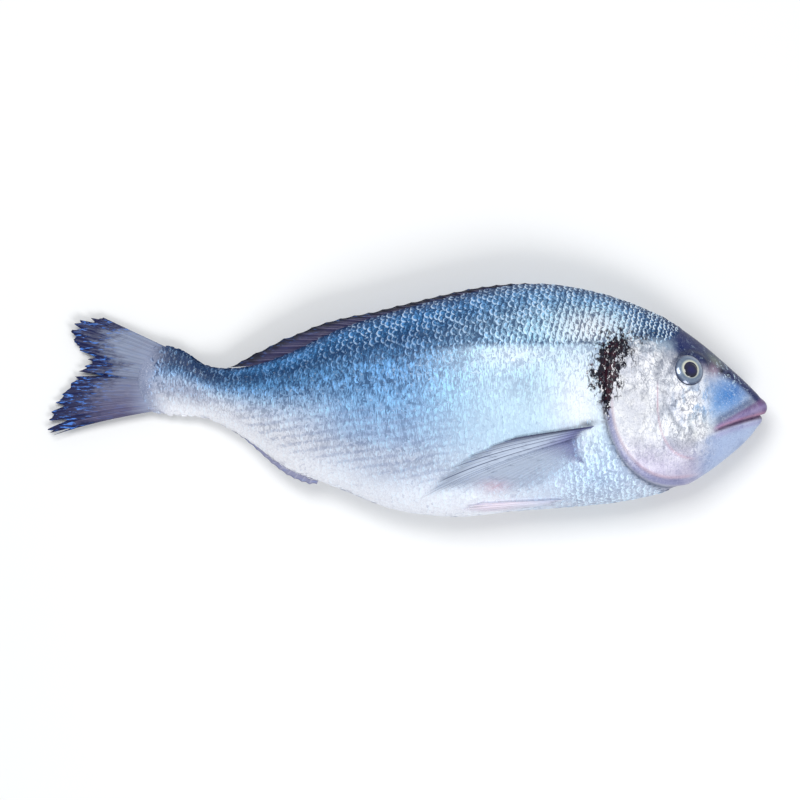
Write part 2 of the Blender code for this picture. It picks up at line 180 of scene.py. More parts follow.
def directions(place, turn):
    """Unit vectors to the tail, round the body and out of it."""
    step = 0.01
    along = flesh_points(place + step, turn) - flesh_points(place - step, turn)
    around = flesh_points(place, turn + step) - flesh_points(place, turn - step)
    out = unit(np.cross(along, around))
    tailward = unit(along)
    return tailward, np.cross(out, tailward), out


print("thickest section, mm:", round(2 * STATIONS[:, 3].max() / MM, 1))

# %% [markdown]
# ## The relief of the head
# The gill cover is a raised plate with a soft membrane along its edge, and the gill slit runs
# behind it. In front of it the cheek has a second thin plate. Each is a smooth bump or step that is
# added to the skin along its way out, so one formula serves both flanks.

# %% Gill cover and cheek
GILL_CENTRE, GILL_REACH, GILL_FRONT_REACH = (118 * MM, 0.0), (29.8 * MM, 37.3 * MM), 46 * MM
GILL_SQUARE_ABOVE, GILL_SQUARE_BELOW = 2.6, 2.0
GILL_RISE, GILL_SLOPE, GILL_EDGE = 1.5 * MM, (0.45, 0.95), (0.995, 1.035)
BONE_STEP, BONE_EDGE, BONE_SLOPE = 0.5 * MM, 0.92, 0.015
FOLD_COUNT, FOLD_DEPTH = 3, 0.12 * MM
SLIT_DEPTH, SLIT_PLACE, SLIT_WIDTH = 0.6 * MM, 1.055, 0.028
NAPE_FADE_Y, JAW_FADE_X = (15, 29), (120, 134)
CHEEK_CENTRE, CHEEK_REACH, CHEEK_SQUARE = (130 * MM, 2 * MM), (19.5 * MM, 28.5 * MM), 2.6
CHEEK_RISE, CHEEK_SLOPE, CHEEK_EDGE = 0.5 * MM, (0.6, 0.97), (0.985, 1.03)
CHEEK_FADE_X, CHEEK_FADE_Y = (127, 137), (0, 9)
CHEEK_GROOVE = ((114.8, -1.6), (124.4, -16.3))
CHEEK_GROOVE_DEPTH, CHEEK_GROOVE_WIDTH = 0.5 * MM, 1.2 * MM


def arch_radius(x, y, centre, reach, front_reach, squareness):
    ahead = x > centre[0]
    along = np.abs(x - centre[0]) / np.where(ahead, front_reach, reach[0])
    upright = np.abs(y - centre[1]) / reach[1]
    return (along**squareness + upright**squareness) ** (1.0 / squareness)


def gill_radius(x, y):
    squareness = np.where(y > GILL_CENTRE[1], GILL_SQUARE_ABOVE, GILL_SQUARE_BELOW)
    return arch_radius(x, y, GILL_CENTRE, GILL_REACH, GILL_FRONT_REACH, squareness)


def cheek_radius(x, y):
    return arch_radius(x, y, CHEEK_CENTRE, CHEEK_REACH, CHEEK_REACH[0], CHEEK_SQUARE)


def line_distance(x, y, points):
    """How far each place of the side view is from a line through points in mm."""
    here = np.stack(np.broadcast_arrays(x, y), axis=-1)
    best = np.full(here.shape[:-1], 1.0)
    for start, end in zip(points[:-1], points[1:]):
        start, end = np.array(start) * MM, np.array(end) * MM
        run = end - start
        share = np.clip((here - start) @ run / (run @ run), 0.0, 1.0)
        best = np.minimum(best, np.linalg.norm(here - start - share[..., None] * run, axis=-1))
    return best


def on_cover(x, y):
    """1 where the gill cover's own relief shows, fading at the nape and the jaw."""
    return (1 - ramp(y, *NAPE_FADE_Y)) * (1 - ramp(x, *JAW_FADE_X))


def gill_relief(x, y):
    radius = gill_radius(x, y)
    inside = 1 - smooth_step(*GILL_EDGE, radius)
    plate = GILL_RISE * smooth_step(*GILL_SLOPE, radius) * inside
    membrane = BONE_STEP * smooth_step(BONE_EDGE - BONE_SLOPE, BONE_EDGE + BONE_SLOPE, radius) * inside
    across = np.clip((radius - BONE_EDGE) / (1 - BONE_EDGE), 0, 1)
    folds = FOLD_DEPTH * np.sin(math.tau * FOLD_COUNT * across) * inside * (across > 0)
    slit = SLIT_DEPTH * bump(radius - SLIT_PLACE, SLIT_WIDTH)
    return (plate - membrane + folds - slit) * on_cover(x, y)


def cheek_relief(x, y):
    radius = cheek_radius(x, y)
    plate = smooth_step(*CHEEK_SLOPE, radius) * (1 - smooth_step(*CHEEK_EDGE, radius))
    plate *= (1 - ramp(x, *CHEEK_FADE_X)) * (1 - ramp(y, *CHEEK_FADE_Y))
    away = line_distance(x, y, CHEEK_GROOVE)
    return CHEEK_RISE * plate - CHEEK_GROOVE_DEPTH * bump(away, CHEEK_GROOVE_WIDTH)


print("gill cover stands", GILL_RISE / MM, "mm proud of the flank")

# %% [markdown]
# The eye sits in a low ring of skin, two nostrils are pits in front of it, and the mouth is a cleft
# between two soft lips that slants down to its corner. All five are added up into one relief.

# %% Eye socket, nostrils and mouth
EYE_CENTRE = (126.2 * MM, 13.0 * MM)
SOCKET_RING, SOCKET_WIDTH, SOCKET_RISE = 7.4 * MM, 1.0 * MM, 0.55 * MM
NOSTRILS = ((143.3 * MM, 11.0 * MM), (140.2 * MM, 12.6 * MM))
NOSTRIL_SIZE, NOSTRIL_DEPTH = 0.8 * MM, 0.7 * MM
MOUTH_TIP, MOUTH_CORNER_X, MOUTH_SLOPE, MOUTH_CURVE = (158 * MM, -7.6 * MM), 136.5 * MM, 0.2, 4.5
LIP_EDGE, LIP_SLOPE = (158 * MM, 0.5 * MM), 0.557
CLEFT_DEPTH, CLEFT_WIDTH, CORNER_FADE = 1.4 * MM, 0.7 * MM, 4 * MM
UPPER_LIP_RISE, LOWER_LIP_RISE, LOWER_LIP_WIDTH = 0.9 * MM, 0.5 * MM, 4.5 * MM


def socket_relief(x, y):
    away = np.hypot(x - EYE_CENTRE[0], y - EYE_CENTRE[1])
    return SOCKET_RISE * bump(away - SOCKET_RING, SOCKET_WIDTH)


def nostrils(x, y, size):
    return sum(bump(np.hypot(x - px, y - py), size) for px, py in NOSTRILS)


def nostril_relief(x, y):
    return -NOSTRIL_DEPTH * nostrils(x, y, NOSTRIL_SIZE)


def mouth_line(x):
    behind = MOUTH_TIP[0] - x
    return MOUTH_TIP[1] - MOUTH_SLOPE * behind - MOUTH_CURVE * behind * np.abs(behind)


def lip_line(x):
    return LIP_EDGE[1] - LIP_SLOPE * (LIP_EDGE[0] - x)


def mouth_relief(x, y):
    cleft, edge = mouth_line(x), lip_line(x)
    shown = smooth_step(MOUTH_CORNER_X, MOUTH_CORNER_X + CORNER_FADE, x)
    lip = np.clip((y - cleft) / np.maximum(edge - cleft, MM), 0, 1)
    lower = np.clip((cleft - y) / LOWER_LIP_WIDTH, 0, 1)
    height = UPPER_LIP_RISE * np.sin(math.pi * lip) + LOWER_LIP_RISE * np.sin(math.pi * lower)
    return (height - CLEFT_DEPTH * bump(y - cleft, CLEFT_WIDTH)) * shown


def head_relief(x, y):
    parts = (gill_relief, cheek_relief, socket_relief, nostril_relief, mouth_relief)
    return sum(part(x, y) for part in parts)


print("mouth cleft, mm deep:", round(CLEFT_DEPTH / MM, 2), "nostrils:", len(NOSTRILS))

# %% [markdown]
# ## Where the colours lie
# A bream's colour is a map on its side: dark steel blue along the back, light blue on the flank,
# milky below, a pale gill cover, and a black-and-maroon blotch at the top of the gill slit. It could
# be painted by hand, but here soft shapes are laid over each other by their places in the side view.
# The result is one colour for each point, which skin, scales and fins all share.

# %% The palette


def colour(red, green, blue):
    """A screen colour, 0 to 255, as the linear colour that shaders use."""
    share = np.array((red, green, blue)) / 255.0
    return np.where(share <= 0.04045, share / 12.92, ((share + 0.055) / 1.055) ** 2.4)


FLANK_LEVELS = (-1.0, -0.84, -0.6, -0.45, -0.3, 0.0, 0.2, 0.5, 0.7, 0.9, 1.0)
FLANK_COLOURS = np.array([colour(*shade) for shade in (
    (236, 237, 244), (230, 233, 242), (200, 207, 224), (186, 196, 216), (160, 182, 214),
    (132, 170, 212), (104, 150, 196), (70, 120, 166), (18, 66, 110), (52, 116, 172), (16, 44, 94),
)])
WHITE = colour(252, 252, 255)
# Pale blue for the front of the flank: partly its silver, partly a painted highlight.
FRONT_PALE_AND_HIGHLIGHT = colour(190, 216, 234)
UPPER_LIGHT = colour(164, 202, 228)
PALE_BLUE = colour(150, 206, 250)
BELLY_BLUE = colour(198, 208, 226)
CHEST_BLUE = colour(158, 186, 220)
NAVY = colour(14, 30, 66)
GREY_BLUE = colour(120, 138, 168)
TAIL_ROOT = colour(144, 153, 180)
CREAM = colour(226, 229, 236)
COVER_WHITE = colour(238, 238, 240)
LILAC = colour(180, 172, 200)
FIN_VIOLET = colour(96, 96, 156)
MEMBRANE = colour(134, 138, 178)
SNOUT_BLUE = colour(64, 132, 206)
CHEEK_BLUE = colour(132, 184, 234)
CHEEK_CREAM = colour(228, 220, 192)
JAW_BLUE = colour(164, 182, 216)
# Slate of the crown, also used for painted shade above the upper lip.
CROWN_SLATE_AND_SHADE = colour(4, 28, 90)
YELLOW_SKIN = colour(156, 168, 140)
# Slate of painted shade: above the eye under the brow and in the cheek's groove.
PAINTED_SHADOW_SLATE = colour(34, 44, 76)
PEARL = colour(242, 240, 243)
BONE_PINK = colour(186, 150, 166)
LIP_MAUVE = colour(116, 84, 134)
# Pale lilac for the lips: a painted highlight, on the lower lip also its paler skin.
LIP_PALE_AND_HIGHLIGHT = colour(150, 136, 182)
LIP_PINK = colour(176, 112, 136)
# Painted shade in the mouth cleft.
CLEFT_SHADOW = colour(60, 34, 66)
# Painted shade in the gill slit.
SLIT_SHADOW = colour(64, 76, 108)
BLOOD_BLACK = colour(4, 4, 24)
MAROON = colour(56, 2, 26)
print("colours from belly to back:", len(FLANK_COLOURS))

# %% [markdown]
# The flank's colour comes first from the level between belly and back. Then light, dark and tinted
# patches go over it, each a soft oval, and the lateral line parts the dark back from the flank. The
# pale front of the flank is partly its silver and partly a painted highlight.

# %% The colours of the flank
# A patch has a colour, how strongly it is laid, its middle and size in mm and its turn in degrees.
# The high and the low pale patches at the front are partly the flank's silver and partly a painted
# highlight.
HIGH_PALE_AND_HIGHLIGHT_PATCHES = ((FRONT_PALE_AND_HIGHLIGHT, 0.95, (82, 29), (16, 8), 0), (WHITE, 0.75, (82, 31), (13, 7), 0))
LOW_PALE_AND_HIGHLIGHT_PATCHES = ((WHITE, 0.35, (48, 20), (15, 5), 0), (WHITE, 0.7, (77, 0), (12, 22), 0))
FLANK_PATCHES = (
    (GREY_BLUE, 0.3, (52, 9), (8, 10), 0),
    (FIN_VIOLET, 0.75, (73, -19), (4, 7), 20),
    (NAVY, 0.8, (80, -10.5), (4, 1.3), 8),
    (GREY_BLUE, 0.25, (0, -31), (18, 5), 10),
)
BELLY_PATCHES = (
    (GREY_BLUE, 0.35, (57, -34), (17, 5), 14),
    (BONE_PINK, 0.3, (39, -40), (6, 2.5), 0),
    (CHEST_BLUE, 0.6, (84, -33), (18, 10), 0),
)
LIT_LEVELS, LIT_SHARES = (-0.85, -0.55, -0.2), (0.0, 0.6, 1.0)
UPPER_LEVELS, UPPER_SHARES = (0.5, 0.6, 0.75, 0.9, 1.0), (1.0, 0.95, 0.6, 0.35, 0.1)
LATERAL_X = (-119, -95, -60, -30, -2, 14, 29, 82, 100, 119)
LATERAL_Y = (9.0, 7.5, 11.0, 15.5, 19.0, 22.9, 24.3, 25.0, 26.0, 27.0)


def spot(x, y, centre, size, turn=0.0):
    """A soft oval, 1 at its centre and 0 well outside. Sizes in mm, the turn in degrees."""
    dx, dy = x / MM - centre[0], y / MM - centre[1]
    cos, sin = math.cos(math.radians(turn)), math.sin(math.radians(turn))
    along, across = (dx * cos + dy * sin) / size[0], (dy * cos - dx * sin) / size[1]
    return np.exp(-(along**2 + across**2))


def over(base, layer, amount):
    amount = np.clip(amount, 0, 1)[..., None]
    return base * (1 - amount) + layer * amount


def patched(tint, x, y, patches, where=1.0):
    for shade, amount, centre, size, turn in patches:
        tint = over(tint, shade, amount * spot(x, y, centre, size, turn) * where)
    return tint


def level_of(x, y):
    """-1 at the belly's edge and 1 at the back's."""
    back, belly = section_at_x(x)[:2]
    return np.clip(2 * (y - belly) / np.maximum(back - belly, MM) - 1, -1, 1)


def lateral_line(x):
    return np.interp(x / MM, LATERAL_X, LATERAL_Y) * MM


def over_lateral(x, y):
    """How far a place is above the lateral line."""
    return y - lateral_line(x)


def flank_tint(x, y):
    level = level_of(x, y)
    tint = np.stack([np.interp(level, FLANK_LEVELS, part) for part in FLANK_COLOURS.T], -1)
    above = ramp(over_lateral(x, y), -3, 2.5)
    # The lower front of the flank is paler: partly its silver, partly a painted highlight.
    lit = np.interp(level, LIT_LEVELS, LIT_SHARES) * ramp(x, -6, 54)
    tint = over(tint, FRONT_PALE_AND_HIGHLIGHT, lit * (1 - above))
    upper = np.interp(level, UPPER_LEVELS, UPPER_SHARES)
    upper = upper * ramp(x, 0, 75) * (1 - 0.7 * ramp(x, 90, 104))
    tint = over(tint, UPPER_LIGHT, upper * above)
    tint = patched(tint, x, y, HIGH_PALE_AND_HIGHLIGHT_PATCHES, above)
    tint = over(tint, NAVY, 0.45 * ramp(x, 94, 110) * above)
    tint = patched(tint, x, y, LOW_PALE_AND_HIGHLIGHT_PATCHES, 1 - above)
    tint = patched(tint, x, y, FLANK_PATCHES)
    tint = over(tint, BELLY_BLUE, 0.8 * ramp(x, 35, 62) * smooth_step(-0.5, -0.8, level))
    tint = patched(tint, x, y, BELLY_PATCHES)
    tint = over(tint, PEARL, 0.6 * ramp(x, -20, -55) * smooth_step(0.5, -0.4, level))
    tint = over(tint, NAVY, 0.9 * ramp(x, -60, -95) * smooth_step(0.1, 0.6, level))
    middle = ramp(x, -80, -95) * bump(level + 0.2, 0.35)
    return over(tint, TAIL_ROOT, np.maximum(0.7 * middle, ramp(x, -102, -118)))


print("flank patches:", sum(map(len, (HIGH_PALE_AND_HIGHLIGHT_PATCHES, LOW_PALE_AND_HIGHLIGHT_PATCHES, FLANK_PATCHES, BELLY_PATCHES))))

# %% [markdown]
# The head is bare of scales, so its bones show as colour: a white gill cover with a lilac lower
# part, a violet membrane along its edge, a blue snout, a slate crown and mauve lips. Painted shade
# lies above the eye under the brow, in the cheek's groove, in the gill slit, in the nostrils, in the
# mouth cleft and above the upper lip, and a painted highlight runs along the lips.

# %% The colours of the head
COVER_PATCH = ((COVER_WHITE, 1.0, (102, -2), (12, 16), 0),)
CHEEK_PATCHES = (
    (CHEEK_CREAM, 0.6, (129.5, -9), (6, 8), 0),
    (CHEEK_BLUE, 0.75, (135, -1), (14, 9), 10),
    (SNOUT_BLUE, 0.95, (144, 3), (11, 9), 30),
)
BROW_PATCHES = (
    (YELLOW_SKIN, 0.45, (137.5, 17), (5, 2.2), -40),
    (BONE_PINK, 0.55, (135.5, 13), (3.2, 3), 0),
)
CROWN_X, CROWN_BAND = (95, 112, 124, 135, 148), (8, 16, 18, 10, 5)
CHEEK_LINE, CHEEK_LINE_WIDTH = ((112.5, 4), (115.2, -3), (119.3, -10.5), (125, -15.5)), 0.9 * MM
LATERAL_WIDTH = 0.5 * MM
# The ring and width of the painted shade above the eye, and the size of the painted shade in the
# nostrils.
BROW_SHADOW_RING, BROW_SHADOW_WIDTH, NOSTRIL_SHADOW_SIZE = 8.0 * MM, 1.5 * MM, 0.9 * MM


def crown_of(x, y):
    """1 on the dark slate top of the head."""
    band = np.interp(x / MM, CROWN_X, CROWN_BAND) * MM
    return smooth_step(1.25, 0.6, (section_at_x(x)[0] - y) / band)


def cheek_line_of(x, y):
    """1 on the dark line of painted shade in the groove along the lower edge of the cheek."""
    return bump(line_distance(x, y, CHEEK_LINE), CHEEK_LINE_WIDTH)


def cover_tint(x, y, base):
    """Gill cover, cheek, snout, crown and lower jaw, with painted shade above the eye."""
    tint = patched(np.broadcast_to(CREAM, base.shape), x, y, COVER_PATCH)
    tint = over(tint, LILAC, 0.85 * ramp(y, -12, -29))
    tint = patched(tint, x, y, CHEEK_PATCHES)
    tint = over(tint, CROWN_SLATE_AND_SHADE, crown_of(x, y))
    tint = patched(tint, x, y, BROW_PATCHES)
    # Painted shade above the eye, under the brow.
    around = np.hypot(x - EYE_CENTRE[0], y - EYE_CENTRE[1])
    shade = bump(around - BROW_SHADOW_RING, BROW_SHADOW_WIDTH) * ramp(y - EYE_CENTRE[1], -3, 5)
    tint = over(tint, PAINTED_SHADOW_SLATE, 0.85 * shade)
    tint = over(tint, JAW_BLUE, 0.95 * ramp(y - mouth_line(x), 0.5, -2.5) * ramp(x, 124, 136))
    head = smooth_step(1.05, 0.99, gill_radius(x, y)) * (1 - ramp(y, 17, 31))
    return over(base, tint, np.maximum(head, ramp(x, 110, 122)))


def edge_tint(x, y, tint):
    """The membrane, the bone's edge, the gill slit with painted shade low in it, and the edge of the
    cheek with painted shade in its groove.
    """
    radius, shown = gill_radius(x, y), on_cover(x, y)
    membrane = smooth_step(0.925, 0.945, radius) * smooth_step(1.03, 1.0, radius) * shown
    tint = over(tint, MEMBRANE, 0.85 * membrane * ramp(y, 2, -8))
    tint = over(tint, BONE_PINK, 0.5 * bump(radius - BONE_EDGE, 0.02) * shown * ramp(y, 8, -4))
    # Painted shade in the gill slit low down, and above it the maroon of the gills.
    slot = bump(radius - 1.045, 0.022) * shown
    tint = over(tint, SLIT_SHADOW, 0.85 * slot * ramp(y, -2, -20))
    tint = over(tint, MAROON, 0.85 * slot * ramp(y, -20, -2))
    ridge = bump(cheek_radius(x, y) - CHEEK_EDGE[0], 0.016) * ramp(y, 10, 4)
    tint = over(tint, BONE_PINK, 0.95 * ridge * ramp(x, 130, 122))
    # Painted shade in the groove along the lower edge of the cheek.
    return over(tint, PAINTED_SHADOW_SLATE, 0.4 * cheek_line_of(x, y))


def mouth_tint(x, y, tint):
    """Both lips, the cleft between them and the nostrils, with painted shade in the cleft, above the
    upper lip and in the nostrils, and a painted highlight along the lips.
    """
    shown = smooth_step(MOUTH_CORNER_X - 2 * MM, MOUTH_CORNER_X + 3 * MM, x)
    cleft, edge = mouth_line(x), lip_line(x)
    lip = smooth_step(cleft - 1.5 * MM, cleft, y) * (1 - smooth_step(edge - MM, edge + MM, y))
    tint = over(tint, LIP_MAUVE, 0.9 * lip * shown)
    # A painted highlight down the upper lip, pink inside it, painted shade above the upper lip, a paler
    # band with a painted highlight on the lower lip, and painted shade in the cleft.
    lines = (
        (LIP_PALE_AND_HIGHLIGHT, 0.7, (cleft + edge) / 2, 1.3),
        (LIP_PINK, 0.5, cleft + 1.2 * MM, 0.7),
        (CROWN_SLATE_AND_SHADE, 0.65, edge + 1.4 * MM, 1.9),
        (LIP_PALE_AND_HIGHLIGHT, 0.5, cleft - 2.2 * MM, 1.3),
        (CLEFT_SHADOW, 0.75, cleft, 0.5),
    )
    for shade, amount, line, width in lines:
        tint = over(tint, shade, amount * bump(y - line, width * MM) * shown)
    # Painted shade in the nostril pits.
    return over(tint, BLOOD_BLACK, 0.9 * nostrils(x, y, NOSTRIL_SHADOW_SIZE))


def skin_tint(x, y):
    """The colour of every place of the fish, seen from its side."""
    tint = cover_tint(x, y, flank_tint(x, y))
    tint = mouth_tint(x, y, edge_tint(x, y, tint))
    line = bump(over_lateral(x, y), LATERAL_WIDTH) * ramp(x, -60, 5) * ramp(x, 90, 84)
    return over(tint, NAVY, 0.6 * line)


# The middle and size of each part of the blotch, in mm, and how thick the blood is there.
BLOOD_PLACES = (((91, 25), (7, 6), 0.5), ((90, 13), (7, 11), 1.05), ((88.6, 0), (2.0, 7), 0.9),
                ((103, 28), (11, 4), 0.4), ((98, 21), (5, 6), 0.35), ((83, 8), (4, 9), 0.35))
MOST_BLOOD = 1.3


def blood_of(x, y):
    """How much of the black and maroon blotch at the top of the gill slit a place has."""
    blood = sum(amount * spot(x, y, centre, size) for centre, size, amount in BLOOD_PLACES)
    return np.clip(blood, 0, MOST_BLOOD)


print("head patches:", len(COVER_PATCH + CHEEK_PATCHES + BROW_PATCHES))
print("parts of the blotch:", len(BLOOD_PLACES))

# %% [markdown]
# ## Shader maths as Python
# The finishes need many small Math nodes. They could be made and linked one by one, but this class
# wraps a socket, so that `1 - mask * 2` adds the nodes by itself. One method makes any other node.

# %% A small class for shader maths


class Wire:
    """A shader socket that can be used in Python expressions."""

    tree = None

    def __init__(self, socket):
        self.socket = socket

    @classmethod
    def node(cls, kind, settings=None, values=None, out=0):
        made = cls.tree.nodes.new(kind)
        for name, value in (settings or {}).items():
            if name == "stops":
                made.color_ramp.elements[1].position = value[-1][0]
                for place, _ in value[1:-1]:
                    made.color_ramp.elements.new(place)
                for element, (place, shade) in zip(made.color_ramp.elements, value):
                    element.position = place
                    element.color = (*shade, 1.0)
            else:
                setattr(made, name, value)
        for name, value in (values or {}).items():
            cls.feed(made.inputs[name], value)
        return cls(made.outputs[out])

    @classmethod
    def feed(cls, socket, value):
        if isinstance(value, Wire):
            cls.tree.links.new(value.socket, socket)
        elif isinstance(value, np.ndarray) and len(socket.default_value) == 4:
            socket.default_value = (*value, 1.0)
        else:
            socket.default_value = value

    def maths(self, operation, other=None, swap=False):
        first, second = (other, self) if swap else (self, other)
        values = {0: first} if other is None else {0: first, 1: second}
        return self.node("ShaderNodeMath", {"operation": operation}, values)

    def __add__(self, other):
        return self.maths("ADD", other)

    def __radd__(self, other):
        return self.maths("ADD", other)

    def __sub__(self, other):
        return self.maths("SUBTRACT", other)

    def __rsub__(self, other):
        return self.maths("SUBTRACT", other, swap=True)

    def __mul__(self, other):
        return self.maths("MULTIPLY", other)

    def __rmul__(self, other):
        return self.maths("MULTIPLY", other)

    def step(self, low, high):
        """0 below low and 1 above high, with a soft way between."""
        return self.node(
            "ShaderNodeMapRange",
            {"interpolation_type": "SMOOTHSTEP"},
            {"Value": self, "From Min": low, "From Max": high},
        )


def blend(base, layer, amount, kind="MIX"):
    settings = {"data_type": "RGBA", "blend_type": kind}
    return Wire.node("ShaderNodeMix", settings, {0: amount, 6: base, 7: layer}, out=2)


def attribute(name, out=2):
    return Wire.node("ShaderNodeAttribute", {"attribute_name": name}, out=out)


def here():
    return Wire.node("ShaderNodeTexCoord", out=3)


def noise(scale, detail=4.0, rough=0.6, stretch=(1, 1, 1)):
    place = Wire.node("ShaderNodeMapping", None, {"Vector": here(), "Scale": stretch})
    values = {"Vector": place, "Scale": scale, "Detail": detail, "Roughness": rough}
    return Wire.node("ShaderNodeTexNoise", None, values)


def begin(name):
    made = bpy.data.materials.new(name)
    made.use_nodes = True
    Wire.tree = made.node_tree


def finish(name, sockets):
    """Feeds the shader's own sockets and gives back the material."""
    shader = Wire.tree.nodes["Principled BSDF"]
    for socket, value in sockets.items():
        Wire.feed(shader.inputs[socket], value)
    made = bpy.data.materials[name]
    print("finish", name, "nodes:", len(Wire.tree.nodes))
    return made


def relief(height, distance, strength=1.0):
    values = {"Height": height, "Distance": distance, "Strength": strength}
    return Wire.node("ShaderNodeBump", None, values)


print("shader maths ready: +, -, * and soft steps")

# %% [markdown]
# ## Wet skin
# Fish skin is glossy because it is wet, and silvery because of tiny mirror plates below the
# surface. So the finish is a little metallic, with fine grain in its roughness and a clear wet coat.
# Numbers that each point keeps steer it: "gleam" says how silvery it is and lays a fine grain of
# painted white glints, "speckle" lays grey specks, white flakes that are partly painted highlights
# and thin dark veins over the nape and the cheek, "frost" lays light flecks along the snout, and
# "blood" lays the ragged blotch, whose strokes are thin lines of noise.

# %% The finish of the bare skin
SPECK_SIZE, GRAIN_SIZE, PORE_SIZE, CLOUD_SIZE = 620.0, 1700.0, 1300.0, 110.0
FLAKE_SIZE, PATCH_SIZE, RAG_SIZE, FINE_SIZE = 560.0, 210.0, 300.0, 700.0
STROKE_SIZE, VEIN_SIZE, FINE_VEIN_SIZE = 250.0, 240.0, 430.0
ALONG_BODY = (1.0, 0.6, 1.0)
SPECK_COLOUR, SHADE_BLUE = colour(84, 92, 116), colour(150, 160, 190)
LIFT = colour(214, 238, 255)
SKIN_BUMP = 0.35 * MM


def thread(scale, width, stretch=(1, 1, 1)):
    """Thin wandering lines, 1 on a line, where a soft noise passes its middle."""
    return 1 - (noise(scale, 2.0, 0.5, stretch) - 0.5).maths("ABSOLUTE").step(0.0, width)


def blotched(base):
    """Lays the ragged black and maroon blotch, with painted white glints, over a colour."""
    rag, fine = noise(RAG_SIZE, 5.0, 0.75, (1.0, 0.7, 1.0)), noise(FINE_SIZE, 4.0, 0.7, ALONG_BODY)
    blood = attribute("blood")
    shade = blend(BLOOD_BLACK, MAROON, (fine + (blood - 0.9) * 0.35).step(0.51, 0.64) * 0.75)
    shade = blend(shade, BONE_PINK, (fine - blood * 0.05).step(0.6, 0.65) * 0.3)
    # White specks in the blotch are painted glints.
    shade = blend(shade, WHITE, noise(SPECK_SIZE, 3.0, 0.7, ALONG_BODY).step(0.59, 0.64) * 0.85)
    core = (blood + (rag - 0.5) * 2.4 + (fine - 0.5) * 1.8).step(0.5, 0.85)
    strokes = thread(STROKE_SIZE, 0.04, ALONG_BODY) * (blood + (rag - 0.5) * 1.4).step(0.1, 0.4)
    cover = (core + strokes * 0.9).maths("MINIMUM", 1.0) * blood.step(0.05, 0.25)
    return blend(base, shade, cover), cover


def skin_finish():
    begin("wet_skin")
    tint, speckle, gleam = attribute("tint", 0), attribute("speckle"), attribute("gleam")
    grain, cloud, pores = noise(GRAIN_SIZE, 3.0), noise(CLOUD_SIZE, 6.0, 0.7), noise(PORE_SIZE)
    flake = noise(FLAKE_SIZE, 5.0, 0.75, (1.0, 0.5, 1.0))
    patch, speck = noise(PATCH_SIZE, 5.0, 0.6, ALONG_BODY), noise(SPECK_SIZE, 5.0, 0.75, ALONG_BODY)
    fine_veins = thread(FINE_VEIN_SIZE, 0.045, ALONG_BODY)
    veins = thread(VEIN_SIZE, 0.035, ALONG_BODY) + fine_veins * 0.7
    veins = veins.maths("MINIMUM", 1.0)
    base = blend(tint, SPECK_COLOUR, (1 - patch.step(0.36, 0.5)) * speckle * 0.45)
    # White flakes over the nape and the cheek: partly pale skin, partly painted highlights.
    base = blend(base, WHITE, (flake * 0.4 + patch * 0.6).step(0.46, 0.54) * speckle)
    base = blend(base, SPECK_COLOUR, speck.step(0.52, 0.64) * speckle * 0.5)
    base = blend(base, SPECK_COLOUR, veins * cloud.step(0.34, 0.5) * (speckle * 0.6 + gleam * 0.1))
    base = blend(base, SHADE_BLUE, (1 - cloud.step(0.36, 0.56)) * 0.3, "MULTIPLY")
    # Fine white grain where the skin is silvery: painted glints.
    base = blend(base, WHITE, grain.step(0.56, 0.68) * gleam * 0.3)
    base = blend(base, LIFT, speck.step(0.56, 0.61) * attribute("frost") * 0.85)
    base = blend(base, SHADE_BLUE, (1 - grain.step(0.34, 0.46)) * 0.35, "MULTIPLY")
    base, cover = blotched(base)
    wet = (cloud.step(0.4, 0.7) * 0.3 + 0.12) * (1 - cover * 0.8) * (gleam * 0.7 + 0.3)
    return finish("wet_skin", {
        "Base Color": base,
        "Metallic": gleam * 0.15,
        "Roughness": grain.step(0.3, 0.8) * 0.2 + 0.36,
        "Coat Weight": wet,
        "Coat Roughness": 0.14,
        "Specular IOR Level": 0.3,
        "Normal": relief(pores * 0.5 + flake * 0.7 - veins * speckle * 0.5, SKIN_BUMP, 0.6),
    })


wet_skin = skin_finish()

# %% [markdown]
# The skin itself is a fine grid, closed at the snout and at the tail root. A grid primitive could
# be bent into shape with lattices, but the formulas above already say where every point goes, so
# a tube is built ring by ring, and the colour and the gloss of each point are stored with it.

# %% The skin
HEAD_RING_STEP, BODY_RING_STEP, HEAD_END_X = 0.55 * MM, 1.2 * MM, 84 * MM
SNOUT_RINGS, TAIL_RINGS, SKIN_SIDES = 16, 4, 250


def ring_places():
    snout = np.linspace(0.0, 1.0, SNOUT_RINGS + 1)[1:]
    start, end = STATIONS_MM[1][0] * MM, STATIONS_MM[-1][0] * MM
    head = place_of(np.arange(start - HEAD_RING_STEP, HEAD_END_X, -HEAD_RING_STEP))
    body = place_of(np.arange(HEAD_END_X, end + BODY_RING_STEP, -BODY_RING_STEP))
    tail = np.linspace(body[-1], LAST_STATION, TAIL_RINGS + 2)[1:-1]
    return np.concatenate((snout, head, body, tail))


def deselect():
    bpy.ops.object.select_all(action="DESELECT")


def new_object(name, points, faces):
    mesh = bpy.data.meshes.new(name)
    mesh.from_pydata(np.asarray(points).reshape(-1, 3).tolist(), [], faces)
    mesh.validate()
    made = bpy.data.objects.new(name, mesh)
    bpy.context.scene.collection.objects.link(made)
    return made


def corners_of(made):
    points = np.empty(len(made.data.vertices) * 3, np.float32)
    made.data.vertices.foreach_get("co", points)
    return points.reshape(-1, 3).astype(float)


def store(made, **kept):
    """Keeps numbers or colours with each point of a mesh."""
    for name, values in kept.items():
        coloured = values.ndim > 1
        kind = "FLOAT_COLOR" if coloured else "FLOAT"
        room = made.data.attributes.new(name, kind, "POINT").data
        if coloured:
            values = np.concatenate((values, np.ones((len(values), 1))), axis=1)
        room.foreach_set("color" if coloured else "value", values.astype(np.float32).ravel())


